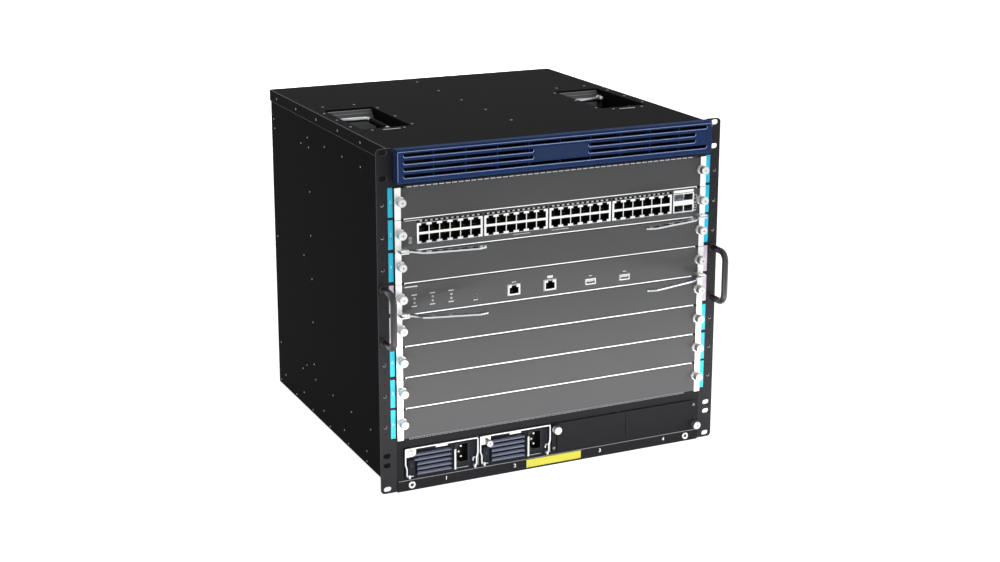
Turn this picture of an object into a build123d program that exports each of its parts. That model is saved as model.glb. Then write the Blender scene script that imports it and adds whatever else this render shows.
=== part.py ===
from build123d import *
import math
import os

# Modular chassis switch: a ten-unit rack body with eight horizontal card slots, a fan tray
# behind a slotted bezel at the top and four power supply bays at the bottom.
# Lengths are millimetres. Pieces are drawn with x to the viewer's right, y back from the
# front face of the rack ears and z up from the underside. They are written out with the
# origin at the centre of the underside.

# Body of folded sheet
BODY_WIDTH = 442.0
BODY_DEPTH = 465.0
SHEET = 1.2
CLEAR = 0.3
REAR_FLANGE = 12.0
COVER_FLANGE = 16.0

# Card slots, counted from the top
SLOT_NAMES = ("1", "2", "3", "m1", "m2", "4", "5", "6")
LINE_SLOT = 1
MAIN_SLOT = 3
SLOT_PITCH = 40.64
SLOT_BASE = 69.5
RAIL_HALF = 1.0
RAIL_DEPTH = 8.0
SHELF_GAP = 0.8
FAN_BAY_HEIGHT = 42.2

# Rack ears
EAR_FLANGE = 20.3
EAR_SHEET = 2.0
EAR_INNER_FLANGE = 14.0
EAR_LEG = 22.0
EAR_BOTTOM = 0.8
EAR_CORNER = 5.0
RACK_UNIT = 44.45
RACK_UNITS = 10
UNIT_EDGE_TO_HOLE = 6.35
EAR_TOP_TO_UNIT = 1.3
EAR_HOLE_INSET = 8.74
EAR_SLOT_LENGTH = 10.5
EAR_SLOT_WIDTH = 6.8

# Handles on the ears
EAR_HANDLE_INSET = 6.8
EAR_HANDLE_LOW = 200.2
EAR_HANDLE_REACH = 68.6
EAR_HANDLE_STAND_OFF = 33.5
EAR_HANDLE_RADIUS = 4.2
EAR_HANDLE_BEND = 12.0
EAR_HANDLE_SIDES = 6

# Recessed lifting handles in the top
PAN_INSET = 14.0
PAN_WIDTH = 68.0
PAN_FRONT = 138.0
PAN_LENGTH = 141.0
PAN_DEPTH = 26.0
PAN_SLOPE = 20.0
PAN_LIP = 8.0
LIFT_PIVOT_INSET = 7.5
LIFT_PIVOT_DROP = 9.0
LIFT_REACH = 44.0
LIFT_LENGTH = 90.0
LIFT_BAR = 6.4
LIFT_PIN_RADIUS = 2.2
PIN_SIDES = 8
LIFT_PIN_LENGTH = 4.0
LIFT_BRACKET_THICKNESS = 4.5
LIFT_BRACKET_WIDTH = 9.0

# Power bay
SILL_HEIGHT = 14.5
SILL_STEP = 0.8
BAY_FLOOR = 17.2
SUPPLY_HEIGHT = 40.0
SUPPLY_SIDE_GAP = 1.9
SUPPLY_DEPTH = 285.0
SUPPLY_LEFT_MARGIN = 11.7
BAY_MARGINS = 28.0
BAY_COUNT = 4
BAY_SIDE_GAP = 1.1
FRAME_INSET = 1.4
CAGE_DEPTH = 298.0

# Power supply faces, measured from the supply's left and bottom edges
GRILLE_LEFT = 15.2
GRILLE_RIGHT = 37.1
GRILLE_Z = (2.4, 33.6)
GRILLE_PROUD = 4.0
GRILLE_FRAME = 1.0
FIN_COUNT = 5
FIN_HEIGHT = 3.6
FIN_PITCH = 6.35
LATCH_X = (3.6, 12.0)
LATCH_Z = (5.0, 24.2)
LATCH_PROUD = 3.6
TAB_RIGHT = (34.4, 32.1)
TAB_Z = (3.0, 30.2)
TAB_PROUD = 7.0
CORNER_PLATE = (14.6, 11.2)
CORNER_PLATE_CHAMFER = 4.5
CORNER_PLATE_SHEET = 1.2
SUPPLY_SCREW = (6.2, 34.8)
SUPPLY_SCREW_OUT = (0.6, 11.0)
SUPPLY_KNOB = (4.4, 4.0)
SUPPLY_VENT_EDGES = (5.0, 17.0)
SUPPLY_VENT_Z = (6.0, 34.0)
INLET_RIGHT = 21.7
INLET_HEIGHT = 22.0
INLET_BODY = (19.8, 27.2)
INLET_RECESS = (16.3, 24.0)
INLET_CORNER = 5.0
INLET_PROUD = 1.6
INLET_DEPTH = 17.6
INLET_FLOOR = 2.0
INLET_PIN = (4.0, 2.0)
INLET_PIN_LENGTH = 10.5
INLET_PIN_SPACING = 7.0
INLET_EARTH_OFFSET = 3.2
BAIL_WIRE = 2.4
BAIL_HIGH = 40.4
BAIL_PIVOT = 2.4
BAIL_JOG = (13.0, 18.5)
BAIL_JOG_IN = 1.8
BAIL_FRONT = 1.6
BAIL_EDGE = -1.2
BAIL_PIN_LENGTH = 3.4
LUG_WIDTH = 2.6
LUG_HOLE = 1.95

# Blank covers of the two empty power bays
BLANK_SHEET = 1.2
BLANK_FLANGE = 6.8
BLANK_STEP = 1.4
BLANK_JOINT = 0.6
BLANK_START = 1.0
BLANK_END = 3.8
BLANK_RETURN = 14.0
BLANK_SCREW = (3.6, 33.4)
BLANK_BOSS_RADIUS = 5.4
BLANK_BOSS_HEIGHT = 1.4

# Wrist strap sockets in the sill
JACK_INSET = 19.4
JACK_HEIGHT = 7.5
JACK_RADIUS = 5.0
JACK_PROUD = 2.0
JACK_BARREL = 3.4
JACK_BORE = 2.0
JACK_LENGTH = 12.0

# Card panels and their end brackets
PANEL_SHEET = 1.5
PANEL_SIDE_GAP = 0.4
PANEL_FLANGE = 10.0
PANEL_FLANGE_INSET = 2.0
BRACKET_WIDTH = 8.1
BRACKET_SHEET = 1.5
BRACKET_BOSS = 6.8
BOSS_SIDES = 8
SCREW_INSET = 6.4
SCREW_RISE = 3.0

# Captive thumbscrews
KNOB_RADIUS = 5.4
KNOB_LENGTH = 8.8
KNOB_SIDES = 8
NECK_RADIUS = 3.6
NECK_LENGTH = 1.8
NECK_SIDES = 6

# Circuit boards, guides and backplane
BOARD_RISE = 7.0
BOARD_SHEET = 1.6
BOARD_EDGE_GAP = 0.7
BOARD_DEPTH = 284.0
GUIDE_HEIGHT = 6.6
GUIDE_START = 50.0
GUIDE_LENGTH = 244.0
GUIDE_LIP = 7.0
BACKPLANE_FRONT = 308.0
BACKPLANE_SHEET = 3.0
BACKPLANE_SIDE_GAP = 4.8
BACKPLANE_ANGLE = 16.0
BACKPLANE_ANGLE_LEG = 13.0
HEADER_DEPTH = 10.0
HEADER_WALL = 2.4
HEADER_POCKET = 6.0
HEADER_GAP = 0.4
PLUG_WIDTH = 240.0
PLUG_HEIGHT = 10.0
PLUG_ENTRY = 4.0
SUPPLY_PLUG = (60.0, 16.0)
FAN_PLUG = (50.0, 8.0)
SINK_SIZE = 58.0
SINK_BASE = 3.0
SINK_HEIGHT = 17.0
SINK_FINS = 6
SINK_FIN = 2.0
SINK_FRONT = 120.0

# Copper port blocks and the fibre cage of the line card
PORT_BLOCKS = 4
PORT_COLUMNS = 6
PORT_BLOCK_LEFT = 29.1
PORT_BLOCK_GAP = 2.4
PORT_BLOCK_ENDS = 4.0
PORT_BLOCK_HEIGHT = 25.8
PORT_BLOCK_PROUD = 0.8
PORT_BLOCK_DEPTH = 21.6
PORT_WALL = 1.9
PORT_HEIGHT = 7.7
PORT_NOTCH = (6.0, 2.5)
PORT_HOLE_DEPTH = 12.5
PORT_EDGE = 0.8
CAGE_RIGHT = 16.9
CAGE_GAP = 0.2
CAGE_WIDTH = 31.0
CAGE_HEIGHT = 25.8
CAGE_PROUD = 0.6
CAGE_LENGTH = 50.0
CAGE_HOLE = (13.2, 8.4)
CAGE_HOLE_PITCH = 14.4
CAGE_HOLE_DEPTH = 45.0
CAGE_EDGE = 1.3
PLUG_FIT = 0.2
DUST_PLUG_PROUD = 1.0
DUST_PLUG_LENGTH = 20.0

# Sockets and button of the main card
JACK_LEFTS = (152.8, 203.8)
MAIN_JACK = (16.0, 12.6)
MAIN_JACK_DEPTH = 18.0
SOCKET_PROUD = 0.7
USB_CENTRES = (270.2, 320.2)
USB_SHELL = (14.6, 7.4)
USB_HOLE = (12.6, 5.3)
USB_DEPTH = 15.0
USB_HOLE_DEPTH = 11.0
RESET_CENTRE = (107.8, 13.5)
RESET_HOLE = 1.3
RESET_RADIUS = 0.9
RESET_LENGTH = 6.0
RESET_RECESS = 0.6
RESET_SWITCH = 6.0
RESET_SEAT = 2.0
RESET_TRAVEL = 1.0

# Ejector levers
LEVER_WIDTH = 8.0
LEVER_SHEET = 2.0
LEVER_RISE = 1.8
LEVER_PIVOT_INSET = 8.4
LEVER_PIVOT_OUT = 8.4
LEVER_BOSS = 4.5
LEVER_PIN = 1.5
LEVER_PIN_FIT = 0.2
LEVER_ROUTE = ((0.0, 0.0), (10.0, 1.0), (21.0, 12.0), (29.0, 14.2), (90.0, 22.2), (98.0, 19.6))
LEVER_WINDOWS = 4
LEVER_WINDOW = (10.0, 4.4)
LEVER_WINDOW_PITCH = 14.2
LUG_SHEET = 1.1
LUG_REACH = 13.0
LUG_SIDE = 5.4
LINE_LEVER_OPEN = (0.0, 4.0)
MAIN_LEVER_OPEN = (5.5, 6.5)

# Fan tray and its bezel
BEZEL_DEPTH = 14.7
BEZEL_WALL = 2.6
BEZEL_FRONT_WALL = 3.0
BEZEL_DROP = 4.2
BEZEL_RISE = 3.0
BEZEL_CHAMFER = 2.4
BEZEL_SLOT_ROWS = 4
BEZEL_SLOT_HEIGHT = 4.4
BEZEL_SLOT_PITCH = 8.6
BEZEL_SLOT_TOP = 4.6
BEZEL_SLOT_SIDE = 7.4
BEZEL_PLATE_HALF = 38.0
BEZEL_PAD = 24.4
BEZEL_RIBS = 9
BEZEL_RIB_MARGIN = 48.0
BEZEL_RIB_SHEET = 1.6
TRAY_DEPTH = 125.0
TRAY_WALL_HEIGHT = 12.0
TRAY_WINDOW_HEIGHT = 28.0
BLOWERS = 3
BLOWER_SIDE_GAP = 1.8
BLOWER_SIZE = 97.0
BLOWER_HEIGHT = 32.0
BLOWER_FRONT = 8.0
BLOWER_WALL = 2.0
BLOWER_CHAMBER = 44.0
BLOWER_INLET = 31.0
BLOWER_OUTLET = 46.0
ROTOR_RADIUS = 40.0
ROTOR_PLATE = 2.0
ROTOR_HUB = 19.0
ROTOR_GAP = 1.5
ROTOR_BLADES = 7
ROTOR_BLADE = (11.0, 1.4)
ROTOR_SIDES = 12
ROTOR_AXLE = 3.0

# Rear panel
VENT_COLUMNS = 8
VENT_ROWS = 2
VENT = (9.0, 96.0)
VENT_PITCH = (46.0, 130.0)
VENT_CENTRE = 240.0

# Places that follow from the sizes above
SLOTS = len(SLOT_NAMES)
HALF = BODY_WIDTH / 2
INNER = HALF - SHEET
SLOT_TOP = SLOT_BASE + SLOTS * SLOT_PITCH
SHELF_BOTTOM = SLOT_TOP + SHELF_GAP
SHELF_TOP = SHELF_BOTTOM + SHEET
WALL_TOP = SHELF_TOP + FAN_BAY_HEIGHT
BODY_HEIGHT = WALL_TOP + SHEET
EAR_TOP = RACK_UNITS * RACK_UNIT - EAR_TOP_TO_UNIT
EAR_EDGE = HALF + EAR_FLANGE
OPENING = INNER - EAR_INNER_FLANGE + SHEET
FRAME_HALF = HALF - FRAME_INSET
CAGE_TOP = SLOT_BASE - CLEAR
PANEL_HALF = INNER - PANEL_SIDE_GAP
PANEL_FRONT = -PANEL_SHEET
BRACKET_FRONT = PANEL_FRONT - BRACKET_SHEET
SCREW_X = PANEL_HALF - SCREW_INSET
PANEL_GAP = RAIL_HALF + CLEAR
BOARD_HALF = OPENING - BOARD_EDGE_GAP
BOARD_TOP = BOARD_RISE + BOARD_SHEET
SUPPLY_BOTTOM = BAY_FLOOR + CLEAR
BAY_PITCH = (BODY_WIDTH - BAY_MARGINS) / BAY_COUNT
SUPPLY_WIDTH = BAY_PITCH - 2 * SUPPLY_SIDE_GAP
SUPPLY_LEFT = -HALF + SUPPLY_LEFT_MARGIN
BAY_LEFT = SUPPLY_LEFT - BAY_SIDE_GAP
BAY_RIGHT = BAY_LEFT + BAY_COUNT * BAY_PITCH
BAY_ROOF = SUPPLY_BOTTOM + SUPPLY_HEIGHT + CLEAR
GRILLE_X = (GRILLE_LEFT, SUPPLY_WIDTH - GRILLE_RIGHT)
TAB_X = (SUPPLY_WIDTH - TAB_RIGHT[0], SUPPLY_WIDTH - TAB_RIGHT[1])
INLET_CENTRE = (SUPPLY_WIDTH - INLET_RIGHT, INLET_HEIGHT)
BLANK_LEFT = BAY_LEFT + 2 * BAY_PITCH + BLANK_START
BLANK_WIDTH = (FRAME_HALF - BLANK_END - BLANK_LEFT - BLANK_JOINT) / 2
PAN_OUTER = HALF - PAN_INSET
PAN_FLOOR = WALL_TOP - PAN_DEPTH
LIFT_X = PAN_OUTER - LIFT_PIVOT_INSET
LIFT_Y = PAN_FRONT + PAN_LENGTH / 2
LIFT_Z = WALL_TOP - LIFT_PIVOT_DROP
LEVER_X = PANEL_HALF - LEVER_PIVOT_INSET
CAGE_LEFT = PANEL_HALF - CAGE_RIGHT - CAGE_WIDTH
PORT_BLOCK_PITCH = (PANEL_HALF + CAGE_LEFT - PORT_BLOCK_LEFT - CAGE_GAP) / PORT_BLOCKS
PORT_BLOCK_WIDTH = PORT_BLOCK_PITCH - PORT_BLOCK_GAP
PORT_PITCH = (PORT_BLOCK_WIDTH - PORT_BLOCK_ENDS) / PORT_COLUMNS
PORT_WIDTH = PORT_PITCH - PORT_WALL
BACKPLANE_BACK = BACKPLANE_FRONT + BACKPLANE_SHEET
HEADER_FRONT = BACKPLANE_FRONT - HEADER_DEPTH
PLUG_BACK = HEADER_FRONT + PLUG_ENTRY
TRAY_BOTTOM = SHELF_TOP + CLEAR
TRAY_FLOOR = TRAY_BOTTOM + SHEET
TRAY_HALF = OPENING - 2 * CLEAR
BEZEL_BOTTOM = SHELF_TOP + BEZEL_DROP
BEZEL_TOP = BODY_HEIGHT + BEZEL_RISE
BEZEL_FRONT = -CLEAR - BEZEL_DEPTH
TRAY_FACE = -CLEAR
BEZEL_RIB_PITCH = 2 * (FRAME_HALF - BEZEL_RIB_MARGIN) / (BEZEL_RIBS - 1)
BLOWER_PITCH = 2 * (TRAY_HALF / BLOWERS - BLOWER_SIDE_GAP)


def slot_bottom(slot):
    return SLOT_BASE + (SLOTS - 1 - slot) * SLOT_PITCH


def spread(count, pitch):
    """Positions of count things on one pitch, centred on zero."""
    return [(index - (count - 1) / 2) * pitch for index in range(count)]


def block(x, y, z):
    """A box between low and high limits on each axis."""
    limits = (x, y, z)
    size = [high - low for low, high in limits]
    centre = [(high + low) / 2 for low, high in limits]
    return Pos(*centre) * Box(*size)


def area(u, v):
    """A rectangle between low and high limits on the sketch's two axes."""
    return Pos((u[0] + u[1]) / 2, (v[0] + v[1]) / 2) * Rectangle(u[1] - u[0], v[1] - v[0])


def outline(*points):
    return make_face(Polyline(*points, close=True))


def from_front(sketch, y):
    """Extrudes a sketch of x and z between two depths."""
    return extrude(Plane.XZ.offset(-y[1]) * sketch, amount=y[1] - y[0])


def from_above(sketch, z):
    """Extrudes a sketch of x and y between two heights."""
    return extrude(Plane.XY.offset(z[0]) * sketch, amount=z[1] - z[0])


def from_side(sketch, x):
    """Extrudes a sketch of y and z between two places across the body."""
    return extrude(Plane.YZ.offset(x[0]) * sketch, amount=x[1] - x[0])


def reflected(part):
    return mirror(part, about=Plane.YZ)


def both_sides(part):
    return [part, reflected(part)]


# Body: shell, cover and rear panel


def chassis_shell():
    section = outline(
        (-HALF, 0),
        (HALF, 0),
        (HALF, WALL_TOP),
        (INNER, WALL_TOP),
        (INNER, SHEET),
        (-INNER, SHEET),
        (-INNER, WALL_TOP),
        (-HALF, WALL_TOP),
    )
    end = BODY_DEPTH - SHEET
    shell = from_front(section, (EAR_SHEET, end))
    flange = block((INNER - REAR_FLANGE, INNER), (end - SHEET, end), (SHEET, WALL_TOP))
    height = (BAY_FLOOR, SLOT_TOP)
    face = block((INNER - BACKPLANE_ANGLE, INNER), (BACKPLANE_BACK, BACKPLANE_BACK + SHEET), height)
    leg = block((INNER - SHEET, INNER), (BACKPLANE_BACK - BACKPLANE_ANGLE_LEG, BACKPLANE_BACK), height)
    for piece in (flange, face, leg):
        for side in both_sides(piece):
            shell += side
    return shell


def pan_opening():
    return area((PAN_OUTER - PAN_WIDTH, PAN_OUTER), (PAN_FRONT, PAN_FRONT + PAN_LENGTH))


def top_cover():
    outer = HALF + SHEET
    low = BODY_HEIGHT - COVER_FLANGE
    cover = block((-outer, outer), (EAR_SHEET, BODY_DEPTH + SHEET), (WALL_TOP, BODY_HEIGHT))
    cover += block((-outer, outer), (BODY_DEPTH, BODY_DEPTH + SHEET), (low, WALL_TOP))
    for flange in both_sides(block((HALF, outer), (EAR_SHEET, BODY_DEPTH + SHEET), (low, WALL_TOP))):
        cover += flange
    for opening in both_sides(from_above(pan_opening(), (WALL_TOP - SHEET, BODY_HEIGHT + SHEET))):
        cover -= opening
    return cover


def rear_panel():
    panel = block((-HALF, HALF), (BODY_DEPTH - SHEET, BODY_DEPTH), (0, WALL_TOP))
    vents = [
        Pos(x, BODY_DEPTH, VENT_CENTRE + z) * Box(VENT[0], 4 * SHEET, VENT[1])
        for x in spread(VENT_COLUMNS, VENT_PITCH[0])
        for z in spread(VENT_ROWS, VENT_PITCH[1])
    ]
    return panel - vents


# Rack ears and their handles


def rack_hole_heights():
    top = RACK_UNITS * RACK_UNIT
    low = UNIT_EDGE_TO_HOLE
    high = RACK_UNIT - UNIT_EDGE_TO_HOLE
    return (low, high, RACK_UNIT + low, top - high, top - low)


def rack_ear():
    """The left ear: a flat flange with a leg behind it that is riveted inside the wall."""
    edge = FRAME_HALF + CLEAR
    flange = outline(
        (-EAR_EDGE, EAR_BOTTOM),
        (-edge, EAR_BOTTOM),
        (-edge, SLOT_BASE),
        (-OPENING, SLOT_BASE),
        (-OPENING, BODY_HEIGHT),
        (-HALF, BODY_HEIGHT),
        (-HALF, EAR_TOP),
        (-EAR_EDGE, EAR_TOP),
    )
    flange = fillet(flange.vertices().group_by(Axis.X)[0], EAR_CORNER)
    for height in rack_hole_heights():
        flange -= Pos(-EAR_EDGE + EAR_HOLE_INSET, height) * SlotOverall(EAR_SLOT_LENGTH, EAR_SLOT_WIDTH)
    leg = block((-INNER, -INNER + EAR_SHEET), (EAR_SHEET, EAR_SHEET + EAR_LEG), (SLOT_BASE, WALL_TOP))
    return from_front(flange, (0, EAR_SHEET)) + leg


def ear_handle():
    x = -EAR_EDGE + EAR_HANDLE_INSET
    low = EAR_HANDLE_LOW
    high = EAR_HANDLE_LOW + EAR_HANDLE_REACH
    out = -EAR_HANDLE_STAND_OFF
    path = FilletPolyline((x, 0, low), (x, out, low), (x, out, high), (x, 0, high), radius=EAR_HANDLE_BEND)
    profile = RegularPolygon(EAR_HANDLE_RADIUS, EAR_HANDLE_SIDES)
    return sweep(Plane((x, 0, low), z_dir=(0, -1, 0)) * profile, path=path)


# Lifting handles sunk in the top


def handle_pan():
    """The right pan: a pressed tray with sloping ends, its lip held under the cover."""
    back = PAN_FRONT + PAN_LENGTH

    def hollow(grow, low, high):
        return outline(
            (PAN_FRONT - grow, high),
            (PAN_FRONT + PAN_SLOPE - grow, low),
            (back - PAN_SLOPE + grow, low),
            (back + grow, high),
        )

    x = (PAN_OUTER - PAN_WIDTH, PAN_OUTER)
    pan = from_side(hollow(SHEET, PAN_FLOOR - SHEET, WALL_TOP), (x[0] - SHEET, x[1] + SHEET))
    lip = area((x[0] - PAN_LIP, x[1] + PAN_LIP), (PAN_FRONT - PAN_LIP, back + PAN_LIP))
    pan += from_above(lip, (WALL_TOP - SHEET, WALL_TOP))
    return pan - from_side(hollow(0, PAN_FLOOR, WALL_TOP), x)


def handle_bracket(side):
    """A bracket on the right pan's floor, before or behind the handle's leg."""
    middle = LIFT_Y + side * (LIFT_LENGTH / 2 + CLEAR + LIFT_BRACKET_THICKNESS / 2)
    y = (middle - LIFT_BRACKET_THICKNESS / 2, middle + LIFT_BRACKET_THICKNESS / 2)
    half = LIFT_BRACKET_WIDTH / 2
    profile = area((LIFT_X - half, LIFT_X + half), (PAN_FLOOR, LIFT_Z + half))
    profile = chamfer(profile.vertices().group_by(Axis.Y)[-1], half / 2)
    profile -= Pos(LIFT_X, LIFT_Z) * RegularPolygon(LIFT_PIN_RADIUS + CLEAR, PIN_SIDES)
    return from_front(profile, y)


def lift_handle():
    """The right handle: a U bar that lies in the pan and swings up about its two pins."""
    reach = (LIFT_X - LIFT_REACH - LIFT_BAR / 2, LIFT_X + LIFT_BAR / 2)
    half = LIFT_LENGTH / 2
    bar = area(reach, (LIFT_Y - half, LIFT_Y + half))
    bar = fillet(bar.vertices().group_by(Axis.X)[0], LIFT_BAR)
    inner = (LIFT_Y - half + LIFT_BAR, LIFT_Y + half - LIFT_BAR)
    bar -= area((reach[0] + LIFT_BAR, reach[1] + LIFT_BAR), inner)
    handle = from_above(bar, (LIFT_Z - LIFT_BAR / 2, LIFT_Z + LIFT_BAR / 2))
    ends = handle.edges().filter_by(Axis.Y).group_by(Axis.X)[-1]
    handle = chamfer(ends, LIFT_BAR / 4)
    for side in (-1, 1):
        middle = LIFT_Y + side * (half + LIFT_PIN_LENGTH / 2)
        reach = LIFT_PIN_LENGTH / 2
        pin = from_front(RegularPolygon(LIFT_PIN_RADIUS, PIN_SIDES), (-reach, reach))
        handle += Pos(LIFT_X, middle, LIFT_Z) * pin
    return handle


# Inner frame: fan shelf, power cage, dividers, backplane, headers, guides and slot rails


def nose(low, high):
    """The edge strip that closes the front of a shelf between the ears."""
    return block((-OPENING, OPENING), (PANEL_FRONT, EAR_SHEET), (low, high))


def fan_shelf():
    back = BACKPLANE_FRONT - HEADER_DEPTH
    start = EAR_SHEET + EAR_LEG + CLEAR
    shelf = block((-INNER + EAR_SHEET, INNER - EAR_SHEET), (EAR_SHEET, back), (SHELF_BOTTOM, SHELF_TOP))
    shelf += nose(SLOT_TOP - RAIL_HALF, SHELF_TOP)
    flange = block((INNER - EAR_SHEET, INNER), (start, back), (SHELF_BOTTOM, SHELF_TOP + REAR_FLANGE))
    for side in both_sides(flange):
        shelf += side
    shelf -= [
        Pos(x, BLOWER_FRONT + BLOWER_SIZE / 2, SHELF_TOP) * Box(2 * BLOWER_INLET, 2 * BLOWER_INLET, 4 * SHEET)
        for x in spread(BLOWERS, BLOWER_PITCH)
    ]
    return shelf


def jack_places():
    x = FRAME_HALF - JACK_INSET
    return ((-x, JACK_HEIGHT), (x, JACK_HEIGHT))


def power_cage():
    """The front frame of the power bay with the sheet duct that the supplies slide in."""
    wide = (-FRAME_HALF, FRAME_HALF)
    cage = block(wide, (0, EAR_SHEET), (0, CAGE_TOP))
    cage += block(wide, (-SILL_STEP, 0), (0, SILL_HEIGHT))
    cage += nose(CAGE_TOP - SHEET, SLOT_BASE + RAIL_HALF)
    inside = ((BAY_LEFT, BAY_RIGHT), (BAY_FLOOR, BAY_ROOF))
    duct = (BAY_LEFT - SHEET, BAY_RIGHT + SHEET)
    cage += block(duct, (EAR_SHEET, CAGE_DEPTH), (BAY_FLOOR - SHEET, BAY_ROOF + SHEET))
    cage += block((-INNER, INNER), (EAR_SHEET, CAGE_DEPTH), (BAY_ROOF, BAY_ROOF + SHEET))
    cage -= block(inside[0], (-SHEET, CAGE_DEPTH + SHEET), inside[1])
    for x, z in jack_places():
        hole = from_front(RegularPolygon(JACK_BARREL + CLEAR / 3, BOSS_SIDES), (-SILL_STEP, EAR_SHEET))
        cage -= Pos(x, 0, z) * hole
    return cage


def bay_dividers():
    return [
        Pos(BAY_LEFT + bay * BAY_PITCH, 0, 0)
        * block((-SHEET / 2, SHEET / 2), (EAR_SHEET, CAGE_DEPTH), (BAY_FLOOR, BAY_ROOF))
        for bay in range(1, BAY_COUNT)
    ]


def backplane():
    half = INNER - BACKPLANE_SIDE_GAP
    return block((-half, half), (BACKPLANE_FRONT, BACKPLANE_BACK), (BAY_FLOOR, SLOT_TOP - RAIL_HALF))


def socket_header(width, height):
    """A header socket around a plug of the given face, centred on its mouth."""
    size = (width + 2 * HEADER_GAP, height + 2 * HEADER_GAP)
    body = Rectangle(size[0] + 2 * HEADER_WALL, size[1] + 2 * HEADER_WALL)
    header = from_front(body, (0, HEADER_DEPTH))
    return header - from_front(Rectangle(*size), (0, HEADER_POCKET))


def plug(width, height, length):
    """The plug that enters such a socket, with its front face at its own origin."""
    return from_front(Rectangle(width, height), (0, length))


def supply_middle(bay):
    return SUPPLY_LEFT + bay * BAY_PITCH + SUPPLY_WIDTH / 2


def mating_headers():
    headers = [
        Pos(0, HEADER_FRONT, slot_bottom(slot) + BOARD_RISE + BOARD_SHEET / 2)
        * socket_header(PLUG_WIDTH, PLUG_HEIGHT)
        for slot in range(SLOTS)
    ]
    headers += [
        Pos(supply_middle(bay), HEADER_FRONT, SUPPLY_BOTTOM + SUPPLY_HEIGHT / 2) * socket_header(*SUPPLY_PLUG)
        for bay in range(BAY_COUNT)
    ]
    height = SHELF_TOP + FAN_PLUG[1] / 2 + HEADER_GAP + HEADER_WALL
    headers.append(Pos(0, TRAY_DEPTH + 2 * CLEAR, height) * socket_header(*FAN_PLUG))
    return headers


def card_guides():
    """Grooved rails on both walls that carry the boards' edges."""
    high = BOARD_RISE + (BOARD_SHEET + GUIDE_HEIGHT) / 2
    low = high - GUIDE_HEIGHT
    groove = (BOARD_RISE - 2 * CLEAR, BOARD_TOP + 2 * CLEAR)
    back = GUIDE_START + GUIDE_LENGTH
    guides = []
    for slot in range(SLOTS):
        base = slot_bottom(slot)
        rail = block((OPENING - GUIDE_LIP, INNER), (GUIDE_START, back), (base + low, base + high))
        channel = (base + groove[0], base + groove[1])
        rail -= block((OPENING - 2 * GUIDE_LIP, OPENING), (0, back + SHEET), channel)
        guides += both_sides(rail)
    return guides


def slot_rails():
    return [
        block((-OPENING, OPENING), (PANEL_FRONT, RAIL_DEPTH), (z - RAIL_HALF, z + RAIL_HALF))
        for z in [slot_bottom(slot) for slot in range(SLOTS - 1)]
    ]


def esd_jacks():
    front = -SILL_STEP - JACK_PROUD
    jack = from_front(RegularPolygon(JACK_RADIUS, BOSS_SIDES), (front, -SILL_STEP))
    jack += from_front(RegularPolygon(JACK_BARREL, BOSS_SIDES), (-SILL_STEP, front + JACK_LENGTH))
    jack -= from_front(Circle(JACK_BORE), (front, front + JACK_LENGTH))
    return [Pos(x, 0, z) * jack for x, z in jack_places()]


# Pieces that every card slot repeats


def thumbscrew():
    """A captive screw's knob on its neck, with its seat at the origin, pointing forward."""
    knob = from_front(RegularPolygon(KNOB_RADIUS, KNOB_SIDES), (-NECK_LENGTH - KNOB_LENGTH, -NECK_LENGTH))
    return knob + from_front(RegularPolygon(NECK_RADIUS, NECK_SIDES), (-NECK_LENGTH, 0))


def screw_height(slot):
    return slot_bottom(slot) + SLOT_PITCH / 2 + SCREW_RISE


def slot_thumbscrews(slot):
    return both_sides(Pos(SCREW_X, BRACKET_FRONT, screw_height(slot)) * thumbscrew())


def bracket(slot, with_lever=False):
    """The right end bracket of a card, with the boss that the thumbscrew turns in."""
    low = slot_bottom(slot) + CLEAR
    strip = area((PANEL_HALF - BRACKET_WIDTH, PANEL_HALF), (low, low + SLOT_PITCH - 2 * CLEAR))
    strip += Pos(SCREW_X, screw_height(slot)) * RegularPolygon(BRACKET_BOSS, BOSS_SIDES)
    piece = from_front(strip, (BRACKET_FRONT, PANEL_FRONT))
    if with_lever:
        bottom = slot_bottom(slot) + LEVER_RISE
        x = (LEVER_X - LUG_SIDE, LEVER_X + LUG_SIDE)
        y = (BRACKET_FRONT - LUG_REACH + BRACKET_SHEET, PANEL_FRONT)
        piece += block(x, y, (bottom - CLEAR - LUG_SHEET, bottom - CLEAR))
        top = bottom + LEVER_SHEET + CLEAR
        piece += block(x, y, (top, top + LUG_SHEET))
        piece += block(x, (BRACKET_FRONT, PANEL_FRONT), (bottom - CLEAR - LUG_SHEET, top + LUG_SHEET))
        pin = from_above(RegularPolygon(LEVER_PIN, PIN_SIDES), (bottom - CLEAR - LUG_SHEET, top + LUG_SHEET))
        piece += Pos(LEVER_X, lever_y(), 0) * pin
    return piece


def lever_y():
    return PANEL_FRONT - LEVER_PIVOT_OUT


def card_panel(slot):
    """A folded front panel: the face with a flange along its top and bottom edges."""
    low = slot_bottom(slot) + PANEL_GAP
    high = slot_bottom(slot) + SLOT_PITCH - PANEL_GAP
    panel = block((-PANEL_HALF, PANEL_HALF), (PANEL_FRONT, 0), (low, high))
    half = OPENING - PANEL_FLANGE_INSET
    for z in (low, high - SHEET):
        panel += block((-half, half), (0, PANEL_FLANGE), (z, z + SHEET))
    return panel


def heat_sink(x, y, z):
    """A finned block of extruded aluminium."""
    sink = Box(SINK_SIZE, SINK_SIZE, SINK_HEIGHT)
    pitch = (SINK_SIZE - SINK_FIN) / (SINK_FINS - 1)
    gap = pitch - SINK_FIN
    depth = SINK_HEIGHT - SINK_BASE
    cuts = [
        Pos(gap_x, 0, SINK_BASE / 2) * Box(gap, SINK_SIZE, depth)
        for gap_x in spread(SINK_FINS - 1, pitch)
    ]
    return Pos(x, y, z + SINK_HEIGHT / 2) * (sink - cuts)


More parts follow.
